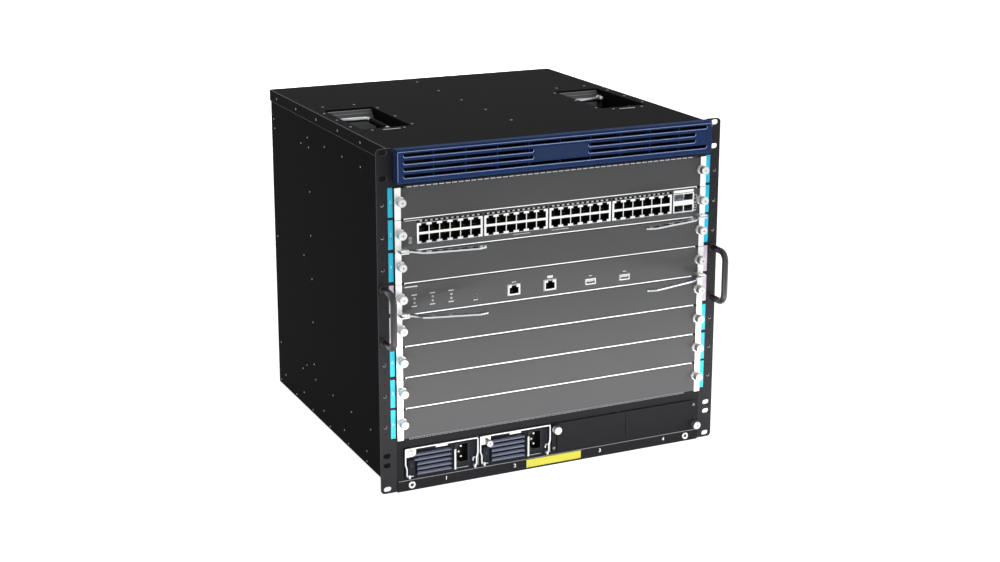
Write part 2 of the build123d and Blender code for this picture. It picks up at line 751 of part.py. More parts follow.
def board_assembly(slot, sinks):
    """A card's circuit board with its heat sinks and the plug at its back edge."""
    base = slot_bottom(slot)
    board = block((-BOARD_HALF, BOARD_HALF), (0, BOARD_DEPTH), (base + BOARD_RISE, base + BOARD_TOP))
    pieces = [board]
    pieces += [heat_sink(x, y, base + BOARD_TOP) for x, y in sinks]
    middle = base + BOARD_RISE + BOARD_SHEET / 2
    pieces.append(Pos(0, BOARD_DEPTH, middle) * plug(PLUG_WIDTH, PLUG_HEIGHT, PLUG_BACK - BOARD_DEPTH))
    return pieces


# Line card


def port_block_lefts():
    return [-PANEL_HALF + PORT_BLOCK_LEFT + index * PORT_BLOCK_PITCH for index in range(PORT_BLOCKS)]


def port_shape(side):
    """One copper port: the plug's opening with its latch notch above or below."""
    edge = PORT_BLOCK_HEIGHT / 2 - PORT_EDGE
    mouth = edge - PORT_NOTCH[1]
    shape = area((-PORT_WIDTH / 2, PORT_WIDTH / 2), (mouth - PORT_HEIGHT, mouth))
    shape += area((-PORT_NOTCH[0] / 2, PORT_NOTCH[0] / 2), (mouth - PORT_HEIGHT / 2, edge))
    return shape if side > 0 else mirror(shape, about=Plane.XZ)


def rj45_blocks():
    bottom = slot_bottom(LINE_SLOT) + BOARD_TOP
    front = PANEL_FRONT - PORT_BLOCK_PROUD
    top = bottom + PORT_BLOCK_HEIGHT
    body = block((0, PORT_BLOCK_WIDTH), (front, front + PORT_BLOCK_DEPTH), (bottom, top))
    holes = [
        Pos(PORT_BLOCK_WIDTH / 2 + x, 0, bottom + PORT_BLOCK_HEIGHT / 2)
        * from_front(port_shape(side), (front, front + PORT_HOLE_DEPTH))
        for x in spread(PORT_COLUMNS, PORT_PITCH)
        for side in (-1, 1)
    ]
    body -= holes
    return [Pos(left, 0, 0) * body for left in port_block_lefts()]


def cage_holes():
    """Centres of the fibre cage's openings, from the cage's lower left corner."""
    rise = CAGE_HEIGHT / 2 - CAGE_EDGE - CAGE_HOLE[1] / 2
    return [
        (CAGE_WIDTH / 2 + x, CAGE_HEIGHT / 2 + z)
        for z in (rise, -rise)
        for x in spread(2, CAGE_HOLE_PITCH)
    ]


def sfp_cage():
    bottom = slot_bottom(LINE_SLOT) + BOARD_TOP
    front = PANEL_FRONT - CAGE_PROUD
    cage = block((0, CAGE_WIDTH), (front, front + CAGE_LENGTH), (0, CAGE_HEIGHT))
    for x, z in cage_holes():
        cage -= Pos(x, 0, z) * from_front(Rectangle(*CAGE_HOLE), (front, front + CAGE_HOLE_DEPTH))
    return Pos(CAGE_LEFT, 0, bottom) * cage


def sfp_dust_plug():
    bottom = slot_bottom(LINE_SLOT) + BOARD_TOP
    front = PANEL_FRONT - CAGE_PROUD
    x, z = cage_holes()[0]
    size = (CAGE_HOLE[0] - 2 * PLUG_FIT, CAGE_HOLE[1] - 2 * PLUG_FIT)
    body = from_front(Rectangle(*size), (front, front + DUST_PLUG_LENGTH))
    body += from_front(Rectangle(CAGE_HOLE[0], CAGE_HOLE[1]), (front - DUST_PLUG_PROUD, front))
    return Pos(CAGE_LEFT + x, 0, bottom + z) * body


def line_card_panel():
    panel = card_panel(LINE_SLOT)
    bottom = slot_bottom(LINE_SLOT) + BOARD_TOP
    windows = [(left, PORT_BLOCK_WIDTH, PORT_BLOCK_HEIGHT) for left in port_block_lefts()]
    windows.append((CAGE_LEFT, CAGE_WIDTH, CAGE_HEIGHT))
    for left, width, height in windows:
        cut = area((left - CLEAR, left + width + CLEAR), (bottom - CLEAR, bottom + height + CLEAR))
        panel -= from_front(cut, (PANEL_FRONT - SHEET, 0))
    return panel


def line_card_board():
    sinks = [(x, SINK_FRONT) for x in spread(2, PORT_BLOCK_PITCH * 2)]
    return board_assembly(LINE_SLOT, sinks)


# Main card


def jack_body():
    """A single copper port in its own shell, from its lower left front corner."""
    shell = block((0, MAIN_JACK[0]), (0, MAIN_JACK_DEPTH), (0, MAIN_JACK[1]))
    mouth = Pos(MAIN_JACK[0] / 2, 0, MAIN_JACK[1] - PORT_BLOCK_HEIGHT / 2)
    return shell - mouth * from_front(port_shape(1), (0, PORT_HOLE_DEPTH))


def usb_body():
    shell = from_front(Rectangle(*USB_SHELL), (0, USB_DEPTH))
    return shell - from_front(Rectangle(*USB_HOLE), (0, USB_HOLE_DEPTH))


def main_card_sockets():
    bottom = slot_bottom(MAIN_SLOT) + BOARD_TOP
    front = PANEL_FRONT - SOCKET_PROUD
    sockets = [Pos(-PANEL_HALF + left, front, bottom) * jack_body() for left in JACK_LEFTS]
    middle = bottom + USB_SHELL[1] / 2
    sockets += [Pos(-PANEL_HALF + x, front, middle) * usb_body() for x in USB_CENTRES]
    return sockets


def reset_place():
    return (-PANEL_HALF + RESET_CENTRE[0], slot_bottom(MAIN_SLOT) + RESET_CENTRE[1])


def main_card_panel():
    panel = card_panel(MAIN_SLOT)
    bottom = slot_bottom(MAIN_SLOT) + BOARD_TOP
    through = (PANEL_FRONT - SHEET, 0)
    for left in JACK_LEFTS:
        x = -PANEL_HALF + left
        hole = area((x - CLEAR, x + MAIN_JACK[0] + CLEAR), (bottom - CLEAR, bottom + MAIN_JACK[1] + CLEAR))
        panel -= from_front(hole, through)
    for middle in USB_CENTRES:
        hole = Rectangle(USB_SHELL[0] + 2 * CLEAR, USB_SHELL[1] + 2 * CLEAR)
        panel -= Pos(-PANEL_HALF + middle, 0, bottom + USB_SHELL[1] / 2) * from_front(hole, through)
    x, z = reset_place()
    return panel - Pos(x, 0, z) * from_front(RegularPolygon(RESET_HOLE, BOSS_SIDES), through)


def main_card_board():
    pieces = board_assembly(MAIN_SLOT, [(0, SINK_FRONT)])
    x, z = reset_place()
    half = RESET_SWITCH / 2
    start = PANEL_FRONT + RESET_RECESS + RESET_LENGTH - RESET_SEAT
    floor = slot_bottom(MAIN_SLOT) + BOARD_TOP
    switch = block((x - half, x + half), (start, start + RESET_SWITCH), (floor, z + half))
    bore = (start, start + RESET_SEAT + RESET_TRAVEL + CLEAR)
    switch -= Pos(x, 0, z) * from_front(RegularPolygon(RESET_HOLE, BOSS_SIDES), bore)
    return pieces + [switch]


def reset_button():
    x, z = reset_place()
    start = PANEL_FRONT + RESET_RECESS
    return Pos(x, 0, z) * from_front(RegularPolygon(RESET_RADIUS, BOSS_SIDES), (start, start + RESET_LENGTH))


# Ejector levers


def lever(slot, opened):
    """The right lever of a card, turned out from the panel by the given angle."""
    route = Polyline(*[(-u, -out) for u, out in LEVER_ROUTE])
    shape = make_face(offset(route, LEVER_WIDTH / 2, kind=Kind.INTERSECTION))
    shape += RegularPolygon(LEVER_BOSS, BOSS_SIDES)
    shape -= RegularPolygon(LEVER_PIN + LEVER_PIN_FIT, PIN_SIDES)
    start, end = LEVER_ROUTE[3:5]
    slope = math.degrees(math.atan2(end[1] - start[1], end[0] - start[0]))
    middle = Pos(-(start[0] + end[0]) / 2, -(start[1] + end[1]) / 2) * Rot(0, 0, slope)
    for x in spread(LEVER_WINDOWS, LEVER_WINDOW_PITCH):
        shape -= middle * Pos(x, 0) * Rectangle(*LEVER_WINDOW)
    strip = from_above(shape, (-LEVER_SHEET / 2, LEVER_SHEET / 2))
    height = slot_bottom(slot) + LEVER_RISE + LEVER_SHEET / 2
    return Pos(LEVER_X, lever_y(), height) * Rot(0, 0, opened) * strip


def card_hardware(slot):
    """Both end brackets with their lever lugs and pins, and both thumbscrews."""
    return both_sides(bracket(slot, with_lever=True)) + slot_thumbscrews(slot)


# Fan tray


def fan_bezel():
    """The moulded bezel: a slotted front with stiffening ribs behind the slots."""
    half = FRAME_HALF
    wall = BEZEL_WALL
    shape = outline(
        (-CLEAR, BEZEL_BOTTOM),
        (-CLEAR, BEZEL_TOP),
        (BEZEL_FRONT + BEZEL_CHAMFER, BEZEL_TOP),
        (BEZEL_FRONT, BEZEL_TOP - BEZEL_CHAMFER),
        (BEZEL_FRONT, BEZEL_BOTTOM + BEZEL_CHAMFER),
        (BEZEL_FRONT + BEZEL_CHAMFER, BEZEL_BOTTOM),
    )
    bezel = from_side(shape, (-half, half))
    inside = BEZEL_FRONT + BEZEL_FRONT_WALL
    bezel -= block((wall - half, half - wall), (inside, 0), (BEZEL_BOTTOM + wall, BEZEL_TOP - wall))
    first = BEZEL_TOP - BEZEL_SLOT_TOP - BEZEL_SLOT_HEIGHT / 2
    for row in range(BEZEL_SLOT_ROWS):
        left, right = BEZEL_SLOT_SIDE - half, half - BEZEL_SLOT_SIDE
        runs = [(left, right)]
        if 0 < row < BEZEL_SLOT_ROWS - 1:
            runs = [(left, -BEZEL_PLATE_HALF), (BEZEL_PLATE_HALF, half - BEZEL_PAD)]
        for low, high in runs:
            slot = chamfer(Rectangle(high - low, BEZEL_SLOT_HEIGHT).vertices(), BEZEL_SLOT_HEIGHT / 3)
            place = Pos((low + high) / 2, 0, first - row * BEZEL_SLOT_PITCH)
            bezel -= place * from_front(slot, (BEZEL_FRONT - SHEET, inside + SHEET))
    for x in spread(BEZEL_RIBS, BEZEL_RIB_PITCH):
        rib = (x - BEZEL_RIB_SHEET / 2, x + BEZEL_RIB_SHEET / 2)
        bezel += block(rib, (inside, TRAY_FACE), (BEZEL_BOTTOM + wall / 2, BEZEL_TOP - wall / 2))
    return bezel


def fan_tray():
    """The tray's floor with a low wall at the sides and back, and its windowed face."""
    low, top = TRAY_BOTTOM, TRAY_FLOOR + TRAY_WALL_HEIGHT
    tray = block((-TRAY_HALF, TRAY_HALF), (TRAY_FACE, TRAY_DEPTH), (low, top))
    inside = (TRAY_HALF - SHEET, TRAY_DEPTH - SHEET)
    tray -= block((-inside[0], inside[0]), (TRAY_FACE - SHEET, inside[1]), (TRAY_FLOOR, top + SHEET))
    face = (low, WALL_TOP - 2 * CLEAR)
    tray += block((-TRAY_HALF, TRAY_HALF), (TRAY_FACE, TRAY_FACE + SHEET), face)
    width = BEZEL_RIB_PITCH - 6 * BEZEL_RIB_SHEET
    middle = (BEZEL_BOTTOM + face[1]) / 2
    tray -= [
        Pos(x, TRAY_FACE, middle) * Box(width, 4 * SHEET, TRAY_WINDOW_HEIGHT)
        for x in spread(BEZEL_RIBS - 1, BEZEL_RIB_PITCH)
    ]
    tray -= [
        Pos(x, BLOWER_FRONT + BLOWER_SIZE / 2, low) * Box(2 * BLOWER_INLET, 2 * BLOWER_INLET, 4 * SHEET)
        for x in spread(BLOWERS, BLOWER_PITCH)
    ]
    height = SHELF_TOP + FAN_PLUG[1] / 2 + HEADER_GAP + HEADER_WALL
    tray += Pos(0, TRAY_DEPTH, height) * plug(*FAN_PLUG, PLUG_ENTRY + 2 * CLEAR)
    return tray


def blower_housing():
    """A flat centrifugal blower's case, with its inlet below and its outlet in front."""
    half = BLOWER_SIZE / 2
    case = block((-half, half), (-half, half), (0, BLOWER_HEIGHT))
    chamber = (BLOWER_WALL, BLOWER_HEIGHT - BLOWER_WALL)
    case -= from_above(RegularPolygon(BLOWER_CHAMBER, ROTOR_SIDES), chamber)
    case -= block((half - BLOWER_WALL - BLOWER_OUTLET, half - BLOWER_WALL), (-half - SHEET, 0), chamber)
    case -= from_above(RegularPolygon(BLOWER_INLET, ROTOR_SIDES), (-SHEET, BLOWER_WALL))
    ceiling = BLOWER_HEIGHT - BLOWER_WALL
    case += from_above(RegularPolygon(ROTOR_AXLE, BOSS_SIDES), (ceiling - 2 * ROTOR_GAP, ceiling))
    return case


def blower_rotor():
    """The blower's wheel: a ring of blades round a hub under a closed plate."""
    top = BLOWER_HEIGHT - BLOWER_WALL - ROTOR_GAP
    low = BLOWER_WALL + ROTOR_GAP
    wheel = from_above(RegularPolygon(ROTOR_RADIUS, ROTOR_SIDES), (top - ROTOR_PLATE, top))
    wheel += from_above(RegularPolygon(ROTOR_HUB, ROTOR_SIDES), (low + ROTOR_GAP, top))
    middle = ROTOR_RADIUS - ROTOR_BLADE[0] / 2 - ROTOR_GAP
    height = top - low
    for index in range(ROTOR_BLADES):
        blade = Pos(middle, 0, low + height / 2) * Rot(0, 0, 30) * Box(*ROTOR_BLADE, height)
        wheel += Rot(0, 0, index * 360 / ROTOR_BLADES) * blade
    return wheel - from_above(RegularPolygon(ROTOR_AXLE + 2 * CLEAR, BOSS_SIDES), (top - 2 * ROTOR_GAP, top))


def blower_places():
    return [Pos(x, BLOWER_FRONT + BLOWER_SIZE / 2, TRAY_FLOOR) for x in spread(BLOWERS, BLOWER_PITCH)]


# Power supplies


def supply_case():
    """A sheet steel case, open behind the grille and vented beside the plug at its back."""
    case = block((0, SUPPLY_WIDTH), (0, SUPPLY_DEPTH), (0, SUPPLY_HEIGHT))
    inner = [(SHEET, size - SHEET) for size in (SUPPLY_WIDTH, SUPPLY_DEPTH, SUPPLY_HEIGHT)]
    case -= block(*inner)
    x, z = INLET_CENTRE
    case -= Pos(x, 0, z) * from_front(Rectangle(*INLET_BODY), (0, SHEET))
    case -= block(*grille_window((0, SHEET)))
    near, far = SUPPLY_VENT_EDGES
    for vent in ((near, far), (SUPPLY_WIDTH - far, SUPPLY_WIDTH - near)):
        case -= block(vent, (SUPPLY_DEPTH - SHEET, SUPPLY_DEPTH), SUPPLY_VENT_Z)
    plug_body = plug(*SUPPLY_PLUG, PLUG_BACK - SUPPLY_DEPTH)
    return case + Pos(SUPPLY_WIDTH / 2, SUPPLY_DEPTH, SUPPLY_HEIGHT / 2) * plug_body


def grille_window(y):
    """The limits of the opening inside the grille's frame, between two depths."""
    return (
        (GRILLE_X[0] + GRILLE_FRAME, GRILLE_X[1] - GRILLE_FRAME),
        y,
        (GRILLE_Z[0] + GRILLE_FRAME, GRILLE_Z[1] - GRILLE_FRAME),
    )


def supply_grille():
    """The moulded front: a framed stack of louvre fins beside the latch block."""
    grille = block(GRILLE_X, (-GRILLE_PROUD, 0), GRILLE_Z)
    grille -= block(*grille_window((-GRILLE_PROUD, 0)))
    middle = (GRILLE_Z[0] + GRILLE_Z[1]) / 2
    for offset_z in spread(FIN_COUNT, FIN_PITCH):
        low = middle + offset_z - FIN_HEIGHT / 2
        fin = outline(
            (0, low + FIN_HEIGHT),
            (-GRILLE_PROUD, low + FIN_HEIGHT / 2),
            (-GRILLE_PROUD, low),
            (0, low + FIN_HEIGHT / 2),
        )
        grille += from_side(fin, GRILLE_X)
    latch = block(LATCH_X, (-LATCH_PROUD, 0), LATCH_Z)
    return [grille, latch]


def supply_inlet():
    """The mains inlet: a chamfered recess with three flat pins."""
    front = -INLET_PROUD
    body = from_front(Rectangle(*INLET_BODY), (front, front + INLET_DEPTH))
    recess = Rectangle(*INLET_RECESS)
    recess = chamfer(recess.vertices().group_by(Axis.X)[0], INLET_CORNER)
    floor = front + INLET_DEPTH - INLET_FLOOR
    body -= from_front(recess, (front, floor))
    places = ((0, -INLET_PIN_SPACING), (0, INLET_PIN_SPACING), (-INLET_EARTH_OFFSET, 0))
    for x, z in places:
        body += Pos(x, 0, z) * from_front(Rectangle(*INLET_PIN), (floor - INLET_PIN_LENGTH, floor))
    return Pos(INLET_CENTRE[0], 0, INLET_CENTRE[1]) * body


def bail_side():
    """Half of the wire bail: a leg that jogs inward below, and half of the top bar."""
    left = BAIL_EDGE
    inward = left + BAIL_JOG_IN
    wire = BAIL_WIRE
    low = BAIL_PIVOT - wire / 2
    top = BAIL_HIGH
    middle = SUPPLY_WIDTH / 2
    shape = outline(
        (inward, low),
        (inward + wire + BAIL_PIN_LENGTH, low),
        (inward + wire + BAIL_PIN_LENGTH, low + wire),
        (inward + wire, low + wire),
        (inward + wire, BAIL_JOG[0]),
        (left + wire, BAIL_JOG[1]),
        (left + wire, top - wire),
        (middle, top - wire),
        (middle, top),
        (left + wire, top),
        (left, top - wire),
        (left, BAIL_JOG[1]),
        (inward, BAIL_JOG[0]),
    )
    return from_front(shape, (-BAIL_FRONT - wire, -BAIL_FRONT))


def supply_bail(screw_out):
    """The wire bail with the corner plate welded to it and the plate's captive screw."""
    half = bail_side()
    wire = half + Pos(SUPPLY_WIDTH, 0, 0) * mirror(half, about=Plane.YZ)
    seat = -BAIL_FRONT - BAIL_WIRE
    width, height = CORNER_PLATE
    plate = area((BAIL_EDGE, BAIL_EDGE + width), (BAIL_HIGH - height, BAIL_HIGH))
    corner = plate.vertices().group_by(Axis.Y)[0].sort_by(Axis.X)[-1]
    plate = chamfer(corner, CORNER_PLATE_CHAMFER)
    front = seat - CORNER_PLATE_SHEET
    screw = from_front(RegularPolygon(NECK_RADIUS, NECK_SIDES), (front - screw_out, front))
    radius, length = SUPPLY_KNOB
    screw += from_front(RegularPolygon(radius, KNOB_SIDES), (front - screw_out - length, front - screw_out))
    x, z = SUPPLY_SCREW
    return [wire, from_front(plate, (front, seat)), Pos(x, 0, z) * screw]


def bail_lug():
    """The lug on the left of the supply's face that the bail's end turns in."""
    start = BAIL_EDGE + BAIL_JOG_IN + BAIL_WIRE + CLEAR
    half = BAIL_PIVOT - CLEAR / 3
    middle = -BAIL_FRONT - BAIL_WIRE / 2
    shape = area((2 * middle, 0), (BAIL_PIVOT - half, BAIL_PIVOT + half))
    shape -= Pos(middle, BAIL_PIVOT) * RegularPolygon(LUG_HOLE, BOSS_SIDES)
    return from_side(shape, (start, start + LUG_WIDTH))


def supply_hardware():
    """The bright pull tab and the bail's lugs."""
    lug = bail_lug()
    return [block(TAB_X, (-TAB_PROUD, 0), TAB_Z), lug, Pos(SUPPLY_WIDTH, 0, 0) * mirror(lug, about=Plane.YZ)]


def in_bay(bay):
    return Pos(SUPPLY_LEFT + bay * BAY_PITCH, 0, SUPPLY_BOTTOM)


def blank_cover():
    """A blank cover: a flat flange beside a raised main face, with a short box behind."""
    width = BLANK_WIDTH
    cover = block((0, width), (-BLANK_SHEET, 0), (0, SUPPLY_HEIGHT))
    cover += block((BLANK_FLANGE, width), (-BLANK_SHEET - BLANK_STEP, 0), (0, SUPPLY_HEIGHT))
    x = (2 * BLANK_FLANGE, width - 2 * BLANK_FLANGE)
    cover += block(x, (0, BLANK_RETURN), (0, SHEET))
    cover += block(x, (0, BLANK_RETURN), (SUPPLY_HEIGHT - SHEET, SUPPLY_HEIGHT))
    boss = from_front(RegularPolygon(BLANK_BOSS_RADIUS, KNOB_SIDES), (-BLANK_BOSS_HEIGHT, 0))
    return cover + Pos(BLANK_SCREW[0], -BLANK_SHEET, BLANK_SCREW[1]) * boss


def blank_place(index):
    """Where a blank cover stands: the second one is the same part turned half round."""
    if index == 0:
        return Pos(BLANK_LEFT, 0, SUPPLY_BOTTOM)
    return Pos(BLANK_LEFT + 2 * BLANK_WIDTH + BLANK_JOINT, 0, SUPPLY_BOTTOM + SUPPLY_HEIGHT) * Rot(0, 180, 0)


def blank_screw():
    seat = -BLANK_SHEET - BLANK_BOSS_HEIGHT
    return Pos(BLANK_SCREW[0], seat, BLANK_SCREW[1]) * thumbscrew()


FILLER_SLOTS = [slot for slot in range(SLOTS) if slot not in (LINE_SLOT, MAIN_SLOT)]


def filler_brackets():
    return [side for slot in FILLER_SLOTS for side in both_sides(bracket(slot))]


def panel_thumbscrews():
    screws = [screw for slot in FILLER_SLOTS for screw in slot_thumbscrews(slot)]
    return screws + [blank_place(index) * blank_screw() for index in range(2)]


def write_node(name, shape):
    """Writes one node, moved so that the origin is the centre of the underside."""
    solids = shape if isinstance(shape, list) else [shape]
    placed = [Pos(0, -BODY_DEPTH / 2, 0) * solid for solid in solids]
    node = placed[0] if len(placed) == 1 else Compound(children=placed)
    export_step(node, f"parts/{name}.step")


def card_nodes():
    """The pieces of the two cards, seated on the ears."""
    nodes = {
        "line_card_panel": line_card_panel(),
        "line_card_board": line_card_board(),
        "line_card_hardware": card_hardware(LINE_SLOT),
        "rj45_blocks": rj45_blocks(),
        "sfp_cage": sfp_cage(),
        "sfp_dust_plug": sfp_dust_plug(),
        "main_card_panel": main_card_panel(),
        "main_card_board": main_card_board(),
        "main_card_hardware": card_hardware(MAIN_SLOT),
        "main_card_sockets": main_card_sockets(),
        "reset_button": reset_button(),
    }
    for card, slot, opened in (("line", LINE_SLOT, LINE_LEVER_OPEN), ("main", MAIN_SLOT, MAIN_LEVER_OPEN)):
        nodes[f"{card}_card_lever_left"] = reflected(lever(slot, opened[0]))
        nodes[f"{card}_card_lever_right"] = lever(slot, opened[1])
    return nodes


def all_nodes():
    """Every node by name. The two cards stand a clearance in front of the ears."""
    nodes = {
        "chassis_shell": chassis_shell(),
        "top_cover": top_cover(),
        "rear_panel": rear_panel(),
        "rack_ear_left": rack_ear(),
        "rack_ear_right": reflected(rack_ear()),
        "ear_handles": both_sides(ear_handle()),
        "handle_pans": both_sides(handle_pan()),
        "handle_brackets": [
            side for end in (-1, 1) for side in both_sides(handle_bracket(end))
        ],
        "lift_handle_left": reflected(lift_handle()),
        "lift_handle_right": lift_handle(),
        "fan_shelf": fan_shelf(),
        "power_cage": power_cage(),
        "bay_dividers": bay_dividers(),
        "backplane": backplane(),
        "mating_headers": mating_headers(),
        "card_guides": card_guides(),
        "slot_rails": slot_rails(),
        "esd_jacks": esd_jacks(),
        "filler_brackets": filler_brackets(),
        "panel_thumbscrews": panel_thumbscrews(),
        "power_blank_3": blank_place(0) * blank_cover(),
        "power_blank_4": blank_place(1) * blank_cover(),
        "fan_bezel": fan_bezel(),
        "fan_tray": fan_tray(),
        "blower_housings": [place * blower_housing() for place in blower_places()],
    }
    for slot in FILLER_SLOTS:
        nodes[f"filler_panel_{SLOT_NAMES[slot]}"] = card_panel(slot)
    for index, place in enumerate(blower_places()):
        nodes[f"blower_rotor_{index + 1}"] = place * blower_rotor()
    for name, shape in card_nodes().items():
        solids = shape if isinstance(shape, list) else [shape]
        nodes[name] = [Pos(0, -CLEAR, 0) * solid for solid in solids]
    for bay, screw_out in enumerate(SUPPLY_SCREW_OUT):
        pieces = {
            "case": [supply_case()],
            "grille": supply_grille(),
            "inlet": [supply_inlet()],
            "bail": supply_bail(screw_out),
            "hardware": supply_hardware(),
        }
        for name, solids in pieces.items():
            nodes[f"psu_{bay + 1}_{name}"] = [in_bay(bay) * solid for solid in solids]
    return nodes


os.makedirs("parts", exist_ok=True)
for node_name, node_shape in all_nodes().items():
    write_node(node_name, node_shape)
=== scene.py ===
import math

import bmesh
import bpy
from mathutils import Matrix, Vector


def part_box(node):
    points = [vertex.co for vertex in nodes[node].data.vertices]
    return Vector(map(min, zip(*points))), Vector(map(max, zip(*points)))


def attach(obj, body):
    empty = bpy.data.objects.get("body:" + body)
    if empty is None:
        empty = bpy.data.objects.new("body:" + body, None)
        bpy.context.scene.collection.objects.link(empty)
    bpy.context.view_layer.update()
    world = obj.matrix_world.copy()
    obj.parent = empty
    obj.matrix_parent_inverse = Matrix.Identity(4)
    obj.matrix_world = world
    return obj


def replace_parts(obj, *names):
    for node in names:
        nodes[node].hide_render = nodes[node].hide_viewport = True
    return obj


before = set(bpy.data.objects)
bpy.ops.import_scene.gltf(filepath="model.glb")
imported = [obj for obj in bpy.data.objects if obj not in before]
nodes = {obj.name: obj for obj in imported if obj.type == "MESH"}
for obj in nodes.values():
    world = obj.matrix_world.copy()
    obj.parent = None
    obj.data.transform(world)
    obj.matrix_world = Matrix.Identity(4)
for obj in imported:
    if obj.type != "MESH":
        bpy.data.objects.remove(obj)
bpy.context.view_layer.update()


# Camera: a long lens to the left of the chassis and a little above its top, where the
# photograph was taken from. Its place is in metres in the shared frame, its turns in degrees.

CAMERA_PLACE = (-0.9789, -2.1473, 0.8778)
CAMERA_TURNS = (75.49, -0.15, -25.5)
CAMERA_SHIFT = (-0.0096, -0.0538)
FILM_WIDTH = 36
FOCAL_LENGTH = 63.09

camera_data = bpy.data.cameras.new("camera")
camera_data.sensor_width = FILM_WIDTH
camera_data.lens = FOCAL_LENGTH
camera_data.shift_x, camera_data.shift_y = CAMERA_SHIFT
camera = bpy.data.objects.new("camera", camera_data)
camera.location = CAMERA_PLACE
camera.rotation_euler = [math.radians(turn) for turn in CAMERA_TURNS]
bpy.context.collection.objects.link(camera)
bpy.context.scene.camera = camera
bpy.context.scene.view_settings.view_transform = "Standard"


# Studio: a seamless white paper sweep and large soft lamps. The paper is a shade off white
# under the object and reads as white behind it, so only the contact shadow shows.

PAPER = "#f4f4f4"
WHITE = "#ffffff"
PAPER_SIZE = 30.0
PAPER_DROP = 0.0005
PAPER_GLOW = 0.75
WORLD_LEVEL = 0.3


def linear(colour):
    """Turns an sRGB hex value to the linear colour that a shader takes."""
    channels = [int(colour[start : start + 2], 16) / 255 for start in (1, 3, 5)]
    return [*(c / 12.92 if c <= 0.04045 else ((c + 0.055) / 1.055) ** 2.4 for c in channels), 1]


def add_node(tree, kind, settings=None, links=None):
    """Adds a shader node, sets its fields or sockets, and links its sockets to sources."""
    node = tree.nodes.new(kind)
    for name, value in (settings or {}).items():
        if isinstance(name, str) and hasattr(node, name):
            setattr(node, name, value)
        else:
            node.inputs[name].default_value = value
    for name, source in (links or {}).items():
        tree.links.new(source, node.inputs[name])
    return node


def seen_directly(tree):
    """A factor of one for camera, mirror and glass rays, which see the backdrop itself."""
    path = add_node(tree, "ShaderNodeLightPath")
    largest = {"operation": "MAXIMUM"}
    rays = [path.outputs[f"Is {ray} Ray"] for ray in ("Camera", "Glossy", "Transmission")]
    either = add_node(tree, "ShaderNodeMath", largest, {0: rays[0], 1: rays[1]})
    return add_node(tree, "ShaderNodeMath", largest, {0: either.outputs[0], 1: rays[2]}).outputs[0]


def new_material(name):
    """A material with its node tree and its main shader."""
    material = bpy.data.materials.new(name)
    material.use_nodes = True
    return material, material.node_tree, material.node_tree.nodes["Principled BSDF"]


paper, tree, shader = new_material("studio_paper")
shader.inputs["Base Color"].default_value = linear(PAPER)
shader.inputs["Roughness"].default_value = 0.9
shader.inputs["Emission Color"].default_value = linear(WHITE)
product = {"operation": "MULTIPLY", 1: PAPER_GLOW}
glow = add_node(tree, "ShaderNodeMath", product, {0: seen_directly(tree)})
tree.links.new(glow.outputs[0], shader.inputs["Emission Strength"])

floor_mesh = bmesh.new()
bmesh.ops.create_grid(floor_mesh, x_segments=1, y_segments=1, size=PAPER_SIZE / 2)
floor_data = bpy.data.meshes.new("paper_sweep")
floor_mesh.to_mesh(floor_data)
floor_mesh.free()
floor_data.materials.append(paper)
floor = bpy.data.objects.new("paper_sweep", floor_data)
floor.location.z = -PAPER_DROP
bpy.context.collection.objects.link(floor)

world = bpy.data.worlds.new("studio")
world.use_nodes = True
bpy.context.scene.world = world
tree = world.node_tree
seen = seen_directly(tree)
lit = add_node(tree, "ShaderNodeBackground", {"Color": linear(WHITE), "Strength": WORLD_LEVEL})
shown = add_node(tree, "ShaderNodeBackground", {"Color": linear(WHITE), "Strength": 1.0})
mixed = add_node(tree, "ShaderNodeMixShader", {}, {0: seen, 1: lit.outputs[0], 2: shown.outputs[0]})
tree.links.new(mixed.outputs[0], tree.nodes["World Output"].inputs["Surface"])

# Each soft box: place, what it faces, width, height and power in watts. The low strip lights
# the lower slots more than the upper ones, as the photograph does. The rear one stays below
# the cover, so that it lights the back alone.
SOFT_BOXES = {
    "key_soft_box": ((-0.5, -3.0, 1.4), (0, -0.2, 0.2), 1.8, 1.8, 5),
    "right_soft_box": ((2.6, -2.2, 1.2), (0, -0.2, 0.2), 1.6, 1.6, 21),
    "low_strip_box": ((0.1, -0.47, 0.06), (0.1, -0.2, 0.06), 1.2, 0.08, 1.7),
    "top_soft_box": ((-0.1, 1.2, 2.6), (0, 0, 0.44), 1.6, 1.6, 16),
    "rear_soft_box": ((0.6, 3.2, 0.22), (0, 0.23, 0.22), 1.8, 0.4, 34),
}
for name, (place, target, width, height, power) in SOFT_BOXES.items():
    lamp = bpy.data.lights.new(name, "AREA")
    lamp.shape = "RECTANGLE"
    lamp.size = width
    lamp.size_y = height
    lamp.energy = power
    soft_box = bpy.data.objects.new(name, lamp)
    soft_box.location = place
    soft_box.rotation_euler = (Vector(place) - Vector(target)).to_track_quat("Z", "Y").to_euler()
    soft_box.visible_camera = False
    bpy.context.collection.objects.link(soft_box)


# Chassis body: floor, walls, cover and rear panel are folded steel under a black polyester
# powder coat, riveted at the flanges and closed with countersunk cover screws.

MM = 0.001
EAR_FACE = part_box("rack_ear_left")[0].y
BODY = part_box("chassis_shell")
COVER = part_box("top_cover")


def tint(tree, shader, colour, levels, pattern):
    """Varies a base colour between a lower and a higher level of it by a pattern."""
    low, high = ([min(1, c * level) for c in linear(colour)[:3]] + [1] for level in levels)
    colours = add_node(tree, "ShaderNodeMix", {"data_type": "RGBA", 6: low, 7: high}, {0: pattern})
    tree.links.new(colours.outputs[2], shader.inputs["Base Color"])


